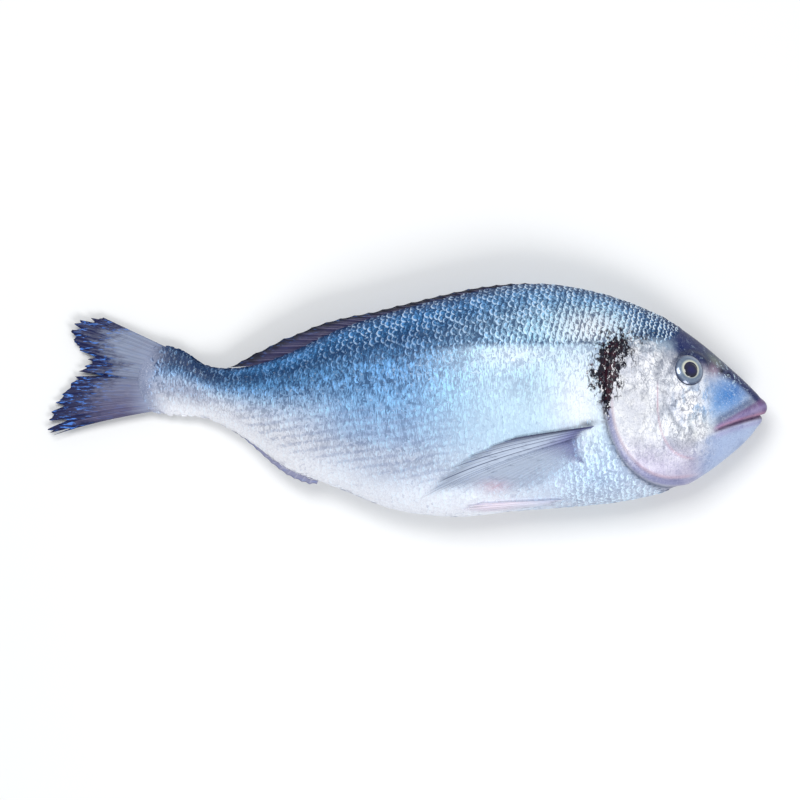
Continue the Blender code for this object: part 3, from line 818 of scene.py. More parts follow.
def dress(made, material):
    made.data.materials.clear()
    made.data.materials.append(material)
    made.data.shade_smooth()
    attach(made, BODY)
    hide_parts(SOLID)
    tris = sum(len(face.vertices) - 2 for face in made.data.polygons)
    print(made.name, "triangles:", tris)


def gleam_of(x, y):
    """How silvery a place is: least on lips and back edge, most on flank and cover."""
    level = level_of(x, y)
    gleam = 1 - 0.5 * smooth_step(0.5, 0.95, level) - 0.35 * smooth_step(-0.7, -0.95, level)
    lips = ramp(x, 134, 140) * ramp(y - lip_line(x), 4, -4)
    return gleam * (1 - 0.8 * lips) * (1 - 0.7 * crown_of(x, y) * ramp(x, 108, 116))


def speckle_of(x, y):
    """Where specks and veins lie: on the nape and the cheek, not on the bones' bright edges."""
    specks = 0.8 * spot(x, y, (104, 18), (18, 14)) + 0.25 * ramp(x, 90, 100)
    specks = specks + 0.9 * spot(x, y, (123, -5), (11, 15))
    free = ramp(y, -36, -22) * (1 - 0.97 * crown_of(x, y))
    ridge = bump(cheek_radius(x, y) - CHEEK_EDGE[0], 0.022) * ramp(y, 10, 4)
    free = free * (1 - 0.85 * ridge) * (1 - 0.6 * cheek_line_of(x, y))
    return np.clip(specks * free * (1 - 0.85 * ramp(x, 130, 138)), 0, 1)


def frost_of(x, y):
    """Where white flecks lie: along the top of the snout and, fewer, on the crown."""
    snout = 0.9 * spot(x, y, (143, 9.5), (10, 4.5), -42)
    return np.clip(snout + 0.15 * crown_of(x, y) * ramp(x, 110, 118), 0, 1)


def make_skin():
    place, turn = ring_places(), np.arange(SKIN_SIDES) * math.tau / SKIN_SIDES
    rings = len(place)
    grid_place, grid_turn = np.meshgrid(place, turn, indexing="ij")
    grid = flesh_points(grid_place, grid_turn)
    out = directions(grid_place, grid_turn)[2]
    grid = grid + out * head_relief(grid[..., 0], grid[..., 1])[..., None]
    grid[..., 2] = pressed(grid[..., 2])
    points = np.vstack((grid.reshape(-1, 3), grid[0].mean(axis=0), grid[-1].mean(axis=0)))
    snout, tail, last = rings * SKIN_SIDES, rings * SKIN_SIDES + 1, (rings - 1) * SKIN_SIDES
    faces = []
    for side in range(SKIN_SIDES):
        after = (side + 1) % SKIN_SIDES
        faces.append((snout, side, after))
        faces.append((tail, last + after, last + side))
        for near in range(0, last, SKIN_SIDES):
            far = near + SKIN_SIDES
            faces.append((near + side, far + side, far + after, near + after))
    skin = new_object("skin", points, faces)
    x, y = points[:, 0], points[:, 1]
    store(skin, tint=skin_tint(x, y), gleam=gleam_of(x, y), speckle=speckle_of(x, y))
    store(skin, blood=blood_of(x, y), frost=frost_of(x, y))
    dress(skin, wet_skin)


make_skin()

# %% [markdown]
# ## A coat of scales
# The scales are thin horny plates that overlap like roof tiles, with the free edge towards the
# tail. Bump could fake them, but real plates catch the light at their edges from every side. One
# scale is modelled as by hand: a flat round plate, inset and pulled up to a low crown, with its
# front end sunk so that the next scale covers it.

# %% Model one scale
SCALE_SIDES = 10
SCALE_LONG, SCALE_WIDE, SCALE_SUNK = 2.0 * MM, 1.75 * MM, 0.25 * MM
SCALE_FREE_RISE, SCALE_FRONT_DROP, SCALE_CROWN = 0.2 * MM, 0.14 * MM, 0.02 * MM
SCALE_SQUARENESS, SCALE_INSET = 2.8, 0.22


def model_scale():
    deselect()
    bpy.ops.mesh.primitive_circle_add(vertices=SCALE_SIDES, radius=1.0, fill_type="NGON")
    made = bpy.context.object
    bpy.ops.object.mode_set(mode="EDIT")
    bpy.ops.mesh.select_all(action="SELECT")
    bpy.ops.mesh.extrude_region_move(TRANSFORM_OT_translate={"value": (0, 0, 1)})
    bpy.ops.mesh.inset(thickness=SCALE_INSET, depth=0.0)
    bpy.ops.object.mode_set(mode="OBJECT")
    points = corners_of(made)
    faces = [tuple(face.vertices) for face in made.data.polygons]
    bpy.data.objects.remove(made)
    return points, faces


def shape_scale(points):
    """Gives the round plate its size, its tilt and its crown."""
    radius = np.hypot(points[:, 0], points[:, 1])
    top = points[:, 2] > 0.5
    free = (points[:, 0] + 1) / 2
    lift = SCALE_FREE_RISE * free - SCALE_FRONT_DROP * (1 - free) + SCALE_CROWN * (1 - radius)
    height = np.where(top, lift, -SCALE_SUNK)
    flat = np.abs(points[:, :2] / np.maximum(radius, 0.01)[:, None])
    fuller = 1 / (flat**SCALE_SQUARENESS).sum(axis=1) ** (1 / SCALE_SQUARENESS)
    full = points[:, :2] * np.where(radius > 0.01, fuller, 1.0)[:, None]
    shaped = np.stack((full[:, 0] * SCALE_LONG, full[:, 1] * SCALE_WIDE, height), axis=-1)
    return shaped, free, points[:, 1]


scale_points, scale_faces = model_scale()
scale_shape, scale_free, scale_aside = shape_scale(scale_points)
print("one scale: points", len(scale_shape), "faces", len(scale_faces))

# %% [markdown]
# Then the scale is copied over each flank. Rows follow the lateral line, columns lean forwards away
# from it, every second one sits half a row lower, and the pitch shrinks towards the tail and the
# nape. Particles could scatter them, but rows laid by formula stay in order. Each copy gets a
# slightly different size, tilt and turn, which makes the coat sparkle instead of looking printed.

# %% Lay the scales
COLUMN_STEP, ROW_STEP, TAIL_PITCH = 2.45 * MM, 2.7 * MM, 0.66
UPPER_LEAN, LOWER_LEAN = 0.28, -0.12
SIZE_SPREAD, STRAY = (0.86, 1.14), 0.24 * MM
SCALES_FROM, SCALES_TO = 122 * MM, -118 * MM
TILT_SPREAD, TURN_SPREAD = 0.035, 0.09
CLEAR_OF_FLOOR, CURVE_POINTS = 0.35 * MM, 241
TAIL_THINNER, LOWER_THICKNESS = 0.75, 0.4
BARE_BEHIND_GILLS, NAPE_FROM, NAPE_EDGE = 1.09, 22 * MM, (104 * MM, 10 * MM, 0.9)
rng = np.random.default_rng(7)


def pitch_at(x):
    """How much smaller the scales are on the tail root and the nape."""
    small = TAIL_PITCH + (1 - TAIL_PITCH) * ramp(x, -112, -25)
    return small * (1 - 0.16 * ramp(x, 88, 112))


def column_places(side):
    """Station number, turn and pitch of every scale of a flank."""
    turns = np.linspace(0, math.pi, CURVE_POINTS) * side
    kept = []
    x, column = SCALES_FROM, 0
    while x > SCALES_TO:
        pitch = pitch_at(x)
        place = float(place_of(x))
        curve = flesh_points(np.full(turns.shape, place), turns)
        steps = np.linalg.norm(np.diff(curve, axis=0), axis=1)
        length = np.concatenate(((0,), np.cumsum(steps)))
        line = lateral_line(x)
        middle = np.interp(-line, -curve[:, 1], length)
        row = ROW_STEP * pitch
        shift = 0.5 * (column % 2)
        first = math.ceil(-middle / row - shift)
        last = math.floor((length[-1] - middle) / row - shift)
        for number in range(first, last + 1):
            distance = middle + (number + shift) * row
            above = np.interp(distance, length, curve[:, 1]) - line
            lean = UPPER_LEAN if above > 0 else LOWER_LEAN
            turn = np.interp(distance, length, turns)
            kept.append((float(place_of(x + lean * above)), turn, pitch))
        x -= COLUMN_STEP * pitch
        column += 1
    return np.array(kept)


def scaly(x, y):
    """True behind the gill cover and on the nape, where scales grow."""
    behind = (gill_radius(x, y) > BARE_BEHIND_GILLS) & (x < GILL_CENTRE[0])
    start, height, lean = NAPE_EDGE
    nape = (y > NAPE_FROM) & (x < start + lean * (y - height))
    return (behind & (y <= NAPE_FROM + MM)) | nape


def lay_scales(side, word):
    """A mesh of all scales of a flank, with where their middles lie."""
    place, turn, pitch = column_places(side).T
    centre = flesh_points(place, turn)
    keep = scaly(centre[:, 0], centre[:, 1]) & (centre[:, 2] > CLEAR_OF_FLOOR)
    keep &= rng.uniform(0, 1, len(centre)) < ramp(centre[:, 0], -120, -106)
    place, turn, pitch, centre = (v[keep] for v in (place, turn, pitch, centre))
    x, y, count = centre[:, 0], centre[:, 1], len(centre)
    tailward, across, out = directions(place, turn)
    tilt, lean = (rng.normal(0, TILT_SPREAD, count)[:, None] for _ in range(2))
    swing = rng.normal(0, TURN_SPREAD, count)[:, None]
    along = unit(tailward + across * swing + out * tilt)
    aside = unit(across - tailward * swing + out * lean)
    normal = unit(np.cross(along, aside))
    for way in (along, aside):
        centre = centre + way * rng.normal(0, STRAY, count)[:, None]
    size = (pitch * rng.uniform(*SIZE_SPREAD, count))[:, None, None]
    thin = 1 - TAIL_THINNER * ramp(x, -98, -117)
    thin *= LOWER_THICKNESS + (1 - LOWER_THICKNESS) * ramp(over_lateral(x, y), -8, 2)
    long, wide, high = (scale_shape[None, :, part, None] for part in range(3))
    points = centre[:, None] + size * (
        long * along[:, None] + wide * aside[:, None] + high * normal[:, None] * thin[:, None, None]
    )
    points[..., 2] = pressed(points[..., 2])
    stride = len(scale_shape)
    faces = [tuple(v + first for v in face)
             for first in range(0, count * stride, stride) for face in scale_faces]
    print("scales on the", word, "flank:", count)
    return new_object("scales_" + word, points, faces), points.reshape(-1, 3), x, y


# %% [markdown]
# Each corner of each scale then keeps what its finish asks for: its colour, its place on its own
# scale, and how grey, crisp, calm or lustrous the coat is there. On the real fish these follow the
# body: crisp and shiny above the lateral line, calm and milky below, with faint grey rows behind.

# %% What each scale keeps
STRIPE_STEP = 3.6 * MM


def chest_of(x, y):
    """1 on the chest below the gill cover, where the scales stand out again."""
    return ramp(x, 62, 76) * ramp(y, -10, -20)


def rows_of(x, y, level):
    """The faint grey rows below the lateral line."""
    stripes = 0.5 + 0.5 * np.cos(math.tau * over_lateral(x, y) / STRIPE_STEP)
    lower = smooth_step(0.25, -0.1, level) * smooth_step(-0.85, -0.6, level)
    return stripes * lower * (ramp(x, 45, 10) * ramp(x, -95, -60))


def crisp_of(x, y, level):
    """Strength of each scale's painted shade and highlight: most above the lateral line and on the
    chest.
    """
    crisp = 0.25 + 0.75 * ramp(over_lateral(x, y), -5, 2)
    high = smooth_step(0.6, 0.85, level) * ramp(x, -55, -15)
    crisp = crisp * (0.3 + 0.7 * np.maximum(ramp(x, -30, 75), 0.75 * high))
    return np.maximum(crisp + 0.3 * ramp(x, 92, 104), 0.9 * chest_of(x, y))


def calm_of(x, y, level):
    """1 on the milky flank below the lateral line and on the belly."""
    calm = ramp(over_lateral(x, y), 0.5, -1.5) * ramp(x, -5, 35)
    return np.maximum(calm, smooth_step(-0.35, -0.75, level))


def keep_with_scales(coat, points, middle_x, middle_y):
    x, y = points[:, 0], points[:, 1]
    count, stride = len(middle_x), len(scale_shape)
    level = level_of(x, y)
    lustre = smooth_step(-0.3, 0.5, level_of(middle_x, middle_y))
    lustre = np.maximum(lustre, 0.8 * chest_of(middle_x, middle_y))
    store(coat, tint=skin_tint(x, y), blood=blood_of(x, y), rows=rows_of(x, y, level))
    store(coat, crisp=crisp_of(x, y, level), calm=calm_of(x, y, level))
    store(coat, free=np.tile(scale_free, count), aside=np.tile(scale_aside, count))
    store(coat, gleam=np.repeat(gleam_of(middle_x, middle_y), stride))
    store(coat, lustre=np.repeat(lustre, stride))
    store(coat, shimmer=np.repeat(rng.uniform(0, 1, count), stride))


print("grey rows every", STRIPE_STEP / MM, "mm below the lateral line")

# %% [markdown]
# The scales share the skin's colours. Thin streaks of light and dark run over each one. Each scale
# is painted darker at its covered front, as painted shade from the scale before it, and lighter
# towards its free edge, and a bright crescent, a painted highlight, follows that edge, drawn from
# each point's place on its own scale. Only some scales, picked at random, get the crescent, so the
# crescents come and go, and they are calmer below the lateral line. An image could show this too,
# but it would blur close up.

# %% The finish of the scales
# FLASH is the near-white of the painted highlight on the scales' free edges.
DEEP_BLUE, ROW_GREY, FLASH = colour(12, 50, 94), colour(120, 132, 166), colour(222, 240, 254)
HAIR_SIZE, STREAK_SIZE, HAZE_SIZE, SCALE_BUMP = 2300.0, 1000.0, 60.0, 0.3 * MM


def scale_finish():
    begin("scale_coat")
    tint, shimmer, lustre = attribute("tint", 0), attribute("shimmer"), attribute("lustre")
    free, aside, gleam = attribute("free"), attribute("aside"), attribute("gleam")
    crisp, calm = attribute("crisp"), attribute("calm")
    hair = noise(HAIR_SIZE, 2.0, 0.6, (1.0, 0.15, 1.0))
    streak = noise(STREAK_SIZE, 3.0, 0.65, (1.0, 0.3, 1.0))
    grain, cloud = noise(GRAIN_SIZE, 4.0, 0.7, ALONG_BODY), noise(HAZE_SIZE, 5.0, 0.65)
    lively = lustre * 0.5 + 0.5
    along = free * 2 - 1
    out_from_middle = along * along + aside * aside
    # edge is the crescent along a scale's free edge, where the painted highlight goes.
    edge = (out_from_middle + aside * 0.3).step(0.3, 0.68) * free.step(0.5, 0.72)
    wave = (hair - 0.5) * (calm * 3.0 + 3.4) + (streak - 0.5) * (2.6 - calm * 1.2)
    wave = wave + (grain - 0.5) * 1.2 + (shimmer - 0.5) * 0.5
    # Each scale is darker at its covered front, painted shade from the scale before it, and lighter at
    # its free edge.
    wave = wave + (cloud - 0.5) * 1.6 + (free - 0.7) * (crisp * 2.0 + 0.9)
    bold, quiet = blend(tint, DEEP_BLUE, lively * 0.78), blend(tint, GREY_BLUE, lustre * 0.5 + 0.15)
    dark = blend(bold, quiet, calm)
    # The lighter tone of the scales: partly their colour, partly painted highlight towards the free
    # edge and on the crescents.
    light = blend(blend(tint, LIFT, 1.0, "OVERLAY"), PALE_BLUE, 0.25)
    base = blend(tint, dark, (0 - wave).step(-0.1, 0.6))
    base = blend(base, light, wave.step(0.0, 0.9) * lively * 0.9)
    base = blend(base, ROW_GREY, (attribute("rows") + (streak - 0.5) * 1.2).step(0.4, 0.9) * 0.4)
    # The glint is a painted highlight along the free edge, on scales picked at random by shimmer and
    # noise.
    glint = shimmer * 1.1 + (streak - 0.5) * 3.2 + (grain - 0.5) * 2.2 + crisp * 0.3
    glint = edge * glint.step(0.4, 1.0) * lively * (crisp * 0.65 + 0.3)
    base = blend(base, blend(light, FLASH, crisp * 0.85), glint)
    base, cover = blotched(base)
    return finish("scale_coat", {
        "Base Color": base,
        "Metallic": gleam * 0.15,
        "Roughness": 0.6 - streak * 0.2,
        "Coat Weight": (streak.step(0.5, 0.7) * 0.25 + 0.03) * (1 - cover * 0.8),
        "Coat Roughness": 0.16,
        "Specular IOR Level": 0.25,
        "Normal": relief(streak + hair * 0.5, SCALE_BUMP, 0.5),
    })


scale_coat = scale_finish()
SHARP_FROM = math.radians(38)
for side, word in SIDES:
    coat, *where = lay_scales(side, word)
    keep_with_scales(coat, *where)
    dress(coat, scale_coat)
    coat.data.set_sharp_from_angle(angle=SHARP_FROM)

# %% [markdown]
# ## Eyes
# A bream's eye is a wide flat ball: a deep blue-black pupil, a thin cream ring, a silver-grey iris
# and a dark rim, under a wet clear front. Each is a ball that is flattened, turned to face out of
# the head and sunk into its socket. The pupil is a smaller lens that stands a little proud. Each
# point keeps how far it is from the middle, and that picks its colour, ring by ring.

# %% Eyes and pupils
EYE_RADIUS, EYE_DOME, EYE_SUNK, EYE_BACK = 7.3 * MM, 3.1 * MM, 0.9 * MM, 1.2 * MM
PUPIL_RADIUS, PUPIL_DOME, PUPIL_SUNK = 3.5 * MM, 1.0 * MM, -1.65 * MM
PUPIL_SHIFT, EYE_SIDES, PUPIL_SIDES = -0.6 * MM, 48, 32
NORMAL_STEP = 0.5 * MM


def flank_normal(x, y, side):
    step = NORMAL_STEP
    slope_x = flank_height(x + step, y, side) - flank_height(x - step, y, side)
    slope_y = flank_height(x, y + step, side) - flank_height(x, y - step, side)
    return Vector((-side * slope_x, -side * slope_y, side * 2 * step)).normalized()


def lens(name, side, radius, dome, sunk, segments, drop=0.0):
    """A flattened ball that faces out of the head."""
    x, y = EYE_CENTRE
    normal = flank_normal(x, y, side)
    centre = Vector((x - EYE_BACK, y + drop, flank_height(x - EYE_BACK, y, side))) - normal * sunk
    deselect()
    bpy.ops.mesh.primitive_uv_sphere_add(segments=segments, ring_count=segments // 2, radius=1.0)
    made = bpy.context.object
    made.name = made.data.name = name
    turned = normal.to_track_quat("Z", "Y").to_matrix().to_4x4()
    flattened = Matrix.Diagonal((radius, radius, dome, 1))
    made.data.transform(Matrix.Translation(centre) @ turned @ flattened)
    away = corners_of(made) - np.array(centre)
    flat = away - (away @ np.array(normal))[:, None] * np.array(normal)
    store(made, away=np.linalg.norm(flat, axis=1) / radius)
    return made


# How far out each colour of the eye lies, from its middle to its rim.
IRIS_STOPS = (
    (0.0, colour(8, 8, 60)),
    (0.43, colour(8, 8, 60)),
    (0.46, colour(212, 212, 190)),
    (0.54, colour(190, 196, 188)),
    (0.62, colour(112, 130, 154)),
    (0.78, colour(120, 136, 160)),
    (0.88, colour(70, 84, 114)),
    (1.0, colour(16, 22, 44)),
)
PUPIL_BLUE, PUPIL_BLACK, PUPIL_HAZE = colour(10, 10, 78), colour(2, 2, 26), colour(60, 70, 150)
IRIS_GRAIN, PUPIL_GRAIN, IRIS_BUMP = 900.0, 300.0, 0.08 * MM


def eye_finish():
    begin("eye_ball")
    away, streaks = attribute("away"), noise(IRIS_GRAIN)
    place = away + (streaks - 0.5) * 0.06
    iris = Wire.node("ShaderNodeValToRGB", {"stops": IRIS_STOPS}, {0: place})
    base = blend(iris, WHITE, streaks.step(0.5, 0.75) * away.step(0.52, 0.6) * 0.2)
    return finish("eye_ball", {
        "Base Color": base,
        "Metallic": away.step(0.5, 0.6) * 0.3,
        "Roughness": streaks * 0.2 + 0.1,
        "Coat Weight": 1.0,
        "Coat Roughness": 0.03,
        "Normal": relief(streaks, IRIS_BUMP, 0.3),
    })


def pupil_finish():
    begin("eye_lens")
    away, haze = attribute("away"), noise(PUPIL_GRAIN)
    base = blend(PUPIL_BLUE, PUPIL_BLACK, away.step(0.1, 0.95))
    base = blend(base, PUPIL_HAZE, haze.step(0.5, 0.8) * 0.25)
    return finish("eye_lens", {
        "Base Color": base,
        "Roughness": haze * 0.1 + 0.06,
        "Coat Weight": 1.0,
        "Coat Roughness": 0.02,
    })


eye_ball, eye_lens = eye_finish(), pupil_finish()
for side, word in SIDES:
    eye = lens("eye_" + word, side, EYE_RADIUS, EYE_DOME, EYE_SUNK, EYE_SIDES)
    dress(eye, eye_ball)
    pupil = lens("pupil_" + word, side, PUPIL_RADIUS, PUPIL_DOME, PUPIL_SUNK, PUPIL_SIDES, PUPIL_SHIFT)
    dress(pupil, eye_lens)

# %% [markdown]
# ## Fins
# Every fin is a thin sheet held open by bony rays that start close together and spread out. Out of
# water the sheet folds and tears between the rays. Each fin is a grid with a crest on every ray and
# a valley between, closed round its edge. The outline is given by how far each ray reaches.

# %% The rayed blade
RIB_SHARE, BEND_REACH = 0.55, 100 * MM


def blade(name, plan_x, plan_y, upper, lower):
    """A closed thin sheet between two heights over a grid of plan points."""
    grids = [np.stack((plan_x, plan_y, height), axis=-1) for height in (upper, lower)]
    along, around = grids[0][1, 0] - grids[0][0, 0], grids[0][0, 1] - grids[0][0, 0]
    rows, columns = plan_x.shape
    index = np.arange(rows * columns).reshape(rows, columns)
    if np.cross(around, along)[2] < 0:
        index = index[:, ::-1]
    under = rows * columns
    quads = np.stack((index[:-1, :-1], index[:-1, 1:], index[1:, 1:], index[1:, :-1]), axis=-1)
    quads = quads.reshape(-1, 4)
    rim = np.concatenate((index[0], index[1:, -1], index[-1, -2::-1], index[-2:0:-1, 0]))
    after = np.roll(rim, -1)
    wall = np.stack((after, rim, rim + under, after + under), axis=-1)
    faces = [tuple(face) for part in (quads, quads[:, ::-1] + under, wall) for face in part.tolist()]
    return new_object(name, np.concatenate([grid.reshape(-1, 3) for grid in grids]), faces)


def fan(plan, per_gap, steps):
    """Plan points of a fan of rays, and the place of each point on its ray and across the fan."""
    gaps = plan["rays"] - 1
    across = np.linspace(0, 1, gaps * per_gap + 1)
    angle = np.interp(across, np.linspace(0, 1, len(plan["angles"])), plan["angles"])
    reach = np.interp(angle, plan["angles"], plan["reach"]) * MM
    web = np.abs(np.sin(math.pi * across * gaps))
    number = np.clip((across * gaps).astype(int), 0, gaps - 1)
    torn = np.array([plan["tears"].get(gap, plan["ragged"]) for gap in range(gaps)])
    reach = reach * (1 - torn[number] * web**1.5)
    reach = reach * (1 + plan["frayed"] * rng.uniform(-1, 0.4, across.size))
    root = np.interp(across, (0, 1), plan["root"]) * MM
    bend = np.interp(across, (0, 1), plan["bend"])
    out = np.linspace(0, 1, steps)[:, None]
    radius = root + (reach - root) * out
    turned = np.radians(angle + bend * (radius / BEND_REACH) ** 3)
    x = plan["centre"][0] * MM + radius * np.cos(turned)
    y = plan["centre"][1] * MM + radius * np.sin(turned)
    full = np.ones_like(x)
    return x, y, out * full, across * full, (1 - web) * full


def forked(across, rays):
    """0 on every ray and halfway between two, where a ray has split."""
    return np.abs(np.sin(math.tau * across * (rays - 1)))


def all_over(shade, x):
    return np.broadcast_to(shade, (*x.shape, 3))


def store_fin(made, out, crest, tint, veil):
    """Keeps the same values for the upper and the lower face of a fin."""
    out, crest, veil = (np.tile(values.ravel(), 2) for values in (out, crest, veil))
    store(made, out=out, crest=crest, veil=veil, tint=np.tile(tint.reshape(-1, 3), (2, 1)))


print("between its rays a fin is thinner by", round(RIB_SHARE * 100), "percent")

# %% [markdown]
# Wet rays are a little paler or darker than the sheet between them, and the sheet itself is streaked
# along the rays, with fine blue glints that are painted highlights. One function makes the finish of
# every fin. Each could have its own painted picture, but the numbers that the mesh keeps already say
# where ray and tip are.

# %% The finish of the fins
FIN_STREAKS, FIN_GLINT_SIZE, FIN_BUMP = 420.0, 1100.0, 0.2 * MM
# The blue of the painted glints on the fins.
GLINT_BLUE = colour(80, 142, 240)
FAINT_TIPS = (1.0, 1.6)


def fin_finish(name, line, dark, tips, ray=0.4, glint_share=0.2):
    """The fin's own tint with its rays and tips. Its veil is how solid the sheet is, and glint_share
    how strong its painted blue glints are.
    """
    begin(name)
    out, crest = attribute("out"), attribute("crest")
    tint, veil = attribute("tint", 0), attribute("veil")
    streaks = noise(FIN_STREAKS, 5.0, 0.7, (0.35, 1.0, 1.0))
    glints = noise(FIN_GLINT_SIZE, 4.0, 0.7, (0.16, 1.0, 1.0))
    base = blend(tint, line, crest.step(0.65, 0.95) * ray)
    base = blend(base, line, streaks.step(0.52, 0.7) * 0.4)
    base = blend(base, dark, (out + (streaks - 0.5) * 0.8).step(*tips))
    # Fine blue glints, painted highlights, strongest towards the tips.
    base = blend(base, GLINT_BLUE, glints.step(0.54, 0.64) * glint_share * (out.step(0.5, 0.95) * 0.9 + 0.1))
    threads = (crest + (streaks - 0.5) * 0.6).step(0.4, 0.95)
    return finish(name, {
        "Base Color": base,
        "Metallic": crest * 0.1,
        "Roughness": streaks * 0.3 + 0.35,
        "Coat Weight": streaks * 0.15,
        "Coat Roughness": 0.18,
        "Specular IOR Level": 0.3,
        "Alpha": veil + (1 - veil) * threads * veil.step(0.0, 0.5),
        "Normal": relief(streaks, FIN_BUMP, 0.5),
    })


print("sparks on the fins about", round(1000 / FIN_GLINT_SIZE, 1), "mm apart")

# %% [markdown]
# The tail is forked, grey-mauve, and blue-black towards its torn tips. The rays split in two on
# their way out, so the outer half shows twice as many lines. It fans out from a point inside the
# body, so its root is hidden in the tail root, and it droops a little towards its thin outer edge.

# %% The tail fin
TAIL_FIN = {
    "centre": (-61.4, 2.3),
    "angles": (154.9, 157.8, 160.5, 164.9, 168.7, 172.1, 174.8, 179.7, 183.2, 186.7, 188.0),
    "reach": (82.0, 90.0, 94.0, 89.5, 81.0, 85.5, 87.5, 94.5, 98.5, 100.4, 98.0),
    "root": (42.0, 42.0),
    "bend": (0.0, 3.0),
    "rays": 19,
    "tears": {1: 0.05, 3: 0.05, 6: 0.06, 9: 0.13, 13: 0.05, 15: 0.09, 17: 0.09},
    "ragged": 0.018,
    "frayed": 0.008,
}
TAIL_PER_GAP, TAIL_STEPS = 8, 60
TAIL_ROOT_THICK, TAIL_TIP_THICK = 1.7 * MM, 0.7 * MM
TAIL_DROOP, TAIL_WAVE, TAIL_WAVE_TURNS = 2.0 * MM, 0.9 * MM, 1.1
TAIL_GREY, TAIL_MAUVE, TAIL_DARK = colour(126, 136, 160), colour(80, 76, 110), colour(2, 12, 66)
TAIL_LINE = colour(132, 130, 152)


def tail_fin():
    x, y, out, across, crest = fan(TAIL_FIN, TAIL_PER_GAP, TAIL_STEPS)
    middle = section_at_x(np.maximum(x, STATIONS_MM[-2][0] * MM))[3]
    wave = TAIL_WAVE * out * np.sin(TAIL_WAVE_TURNS * math.tau * across)
    middle = middle - TAIL_DROOP * out**2 + wave
    thick = TAIL_ROOT_THICK + (TAIL_TIP_THICK - TAIL_ROOT_THICK) * out
    split = forked(across, TAIL_FIN["rays"])
    profile = 1 - RIB_SHARE * ((1 - out) * (1 - crest) + out * split)
    half = thick * profile / 2
    made = blade("tail_fin", x, y, middle + half, middle - half)
    tint = over(all_over(TAIL_GREY, x), TAIL_MAUVE, smooth_step(0.35, 0.9, across))
    tint = over(tint, skin_tint(x, y), smooth_step(0.45, 0.15, out))
    store_fin(made, out, 1 - split * out - (1 - crest) * (1 - out), tint, np.ones_like(x))
    return made


tail_skin = fin_finish("tail_skin", TAIL_LINE, TAIL_DARK, (0.5, 0.9), 0.3, 0.9)
dress(tail_fin(), tail_skin)

# %% [markdown]
# The back fin and the belly fin lie folded, so only a low strip of slanting rays shows along the
# edge of the body. It could be cut as one flat strip, but a grid between two lines gives every ray
# its own ridge: the inner line runs inside the flesh, and the outer one stands off its edge.

# %% The folded fins
BACK_FIN = {
    "base": (76, -54),
    "lean": (10, 25),
    "edge": ((66, 0.1), (50, 0.9), (30, 2.1), (5, 2.0), (-14, 2.7), (-28, 4.7), (-40, 6.6),
             (-54, 7.6), (-68, 5.1), (-79, 0.6)),
    "rays": 24,
    "up": 1,
}
BELLY_FIN = {
    "base": (-37, -66),
    "lean": (2, 10),
    "edge": ((-38, 1.4), (-42, 3.0), (-46, 3.2), (-52, 3.2), (-60, 2.4), (-66, 1.5), (-74, 0.5)),
    "rays": 12,
    "up": -1,
}
FOLDED_THICK, FOLDED_THINNER, FOLDED_ROOT, FOLDED_SCALLOP = 2.2 * MM, 0.6, 3.5 * MM, 0.45 * MM
FOLDED_PER_GAP, FOLDED_STEPS = 6, 12
BACK_TINT, BACK_LINE, BACK_DARK = colour(50, 48, 86), colour(112, 106, 132), colour(10, 12, 36)
BELLY_TINT, BELLY_LINE, BELLY_DARK = colour(132, 134, 162), colour(196, 198, 214), colour(110, 112, 142)


def folded_fin(name, plan, tint):
    gaps = plan["rays"] - 1
    across = np.linspace(0, 1, gaps * FOLDED_PER_GAP + 1)
    web = np.abs(np.sin(math.pi * across * gaps))
    root_x = np.interp(across, (0, 1), plan["base"]) * MM
    tip_x = root_x - np.interp(across, (0, 1), plan["lean"]) * MM
    outline = np.array(plan["edge"][::-1]) * MM

    def flesh_edge(x):
        back, belly = section_at_x(x)[:2]
        return back if plan["up"] > 0 else belly

    root_y = flesh_edge(root_x) - plan["up"] * FOLDED_ROOT
    stand = np.interp(tip_x, outline[:, 0], outline[:, 1]) - FOLDED_SCALLOP * web
    tip_y = flesh_edge(tip_x) + plan["up"] * stand
    out = np.linspace(0, 1, FOLDED_STEPS)[:, None]
    x = root_x + (tip_x - root_x) * out
    y = root_y + (tip_y - root_y) * out
    middle = section_at_x(x)[3]
    half = FOLDED_THICK * (1 - FOLDED_THINNER * out) * (1 - RIB_SHARE * web) / 2
    made = blade(name, x, y, middle + half, middle - half)
    full = np.ones_like(x)
    store_fin(made, out * full, (1 - web) * full, all_over(tint, x), full)
    return made


back_fin_skin = fin_finish("back_fin_skin", BACK_LINE, BACK_DARK, (0.55, 0.95), 0.5)
belly_fin_skin = fin_finish("belly_fin_skin", BELLY_LINE, BELLY_DARK, (0.8, 1.2), 0.3)
dress(folded_fin("back_fin", BACK_FIN, BACK_TINT), back_fin_skin)
dress(folded_fin("belly_fin", BELLY_FIN, BELLY_TINT), belly_fin_skin)

# %% [markdown]
# The chest fins and the pelvic fins lie flat against the flank, with nearly straight rays. They could
# be flat sheets draped over the body, but here each fan takes the flank's own height and stands a
# little above it, with its root sunk in. The sheet between the rays is clear on a chest fin: it fades
# towards the lower edge and the tips, so the scales show through.

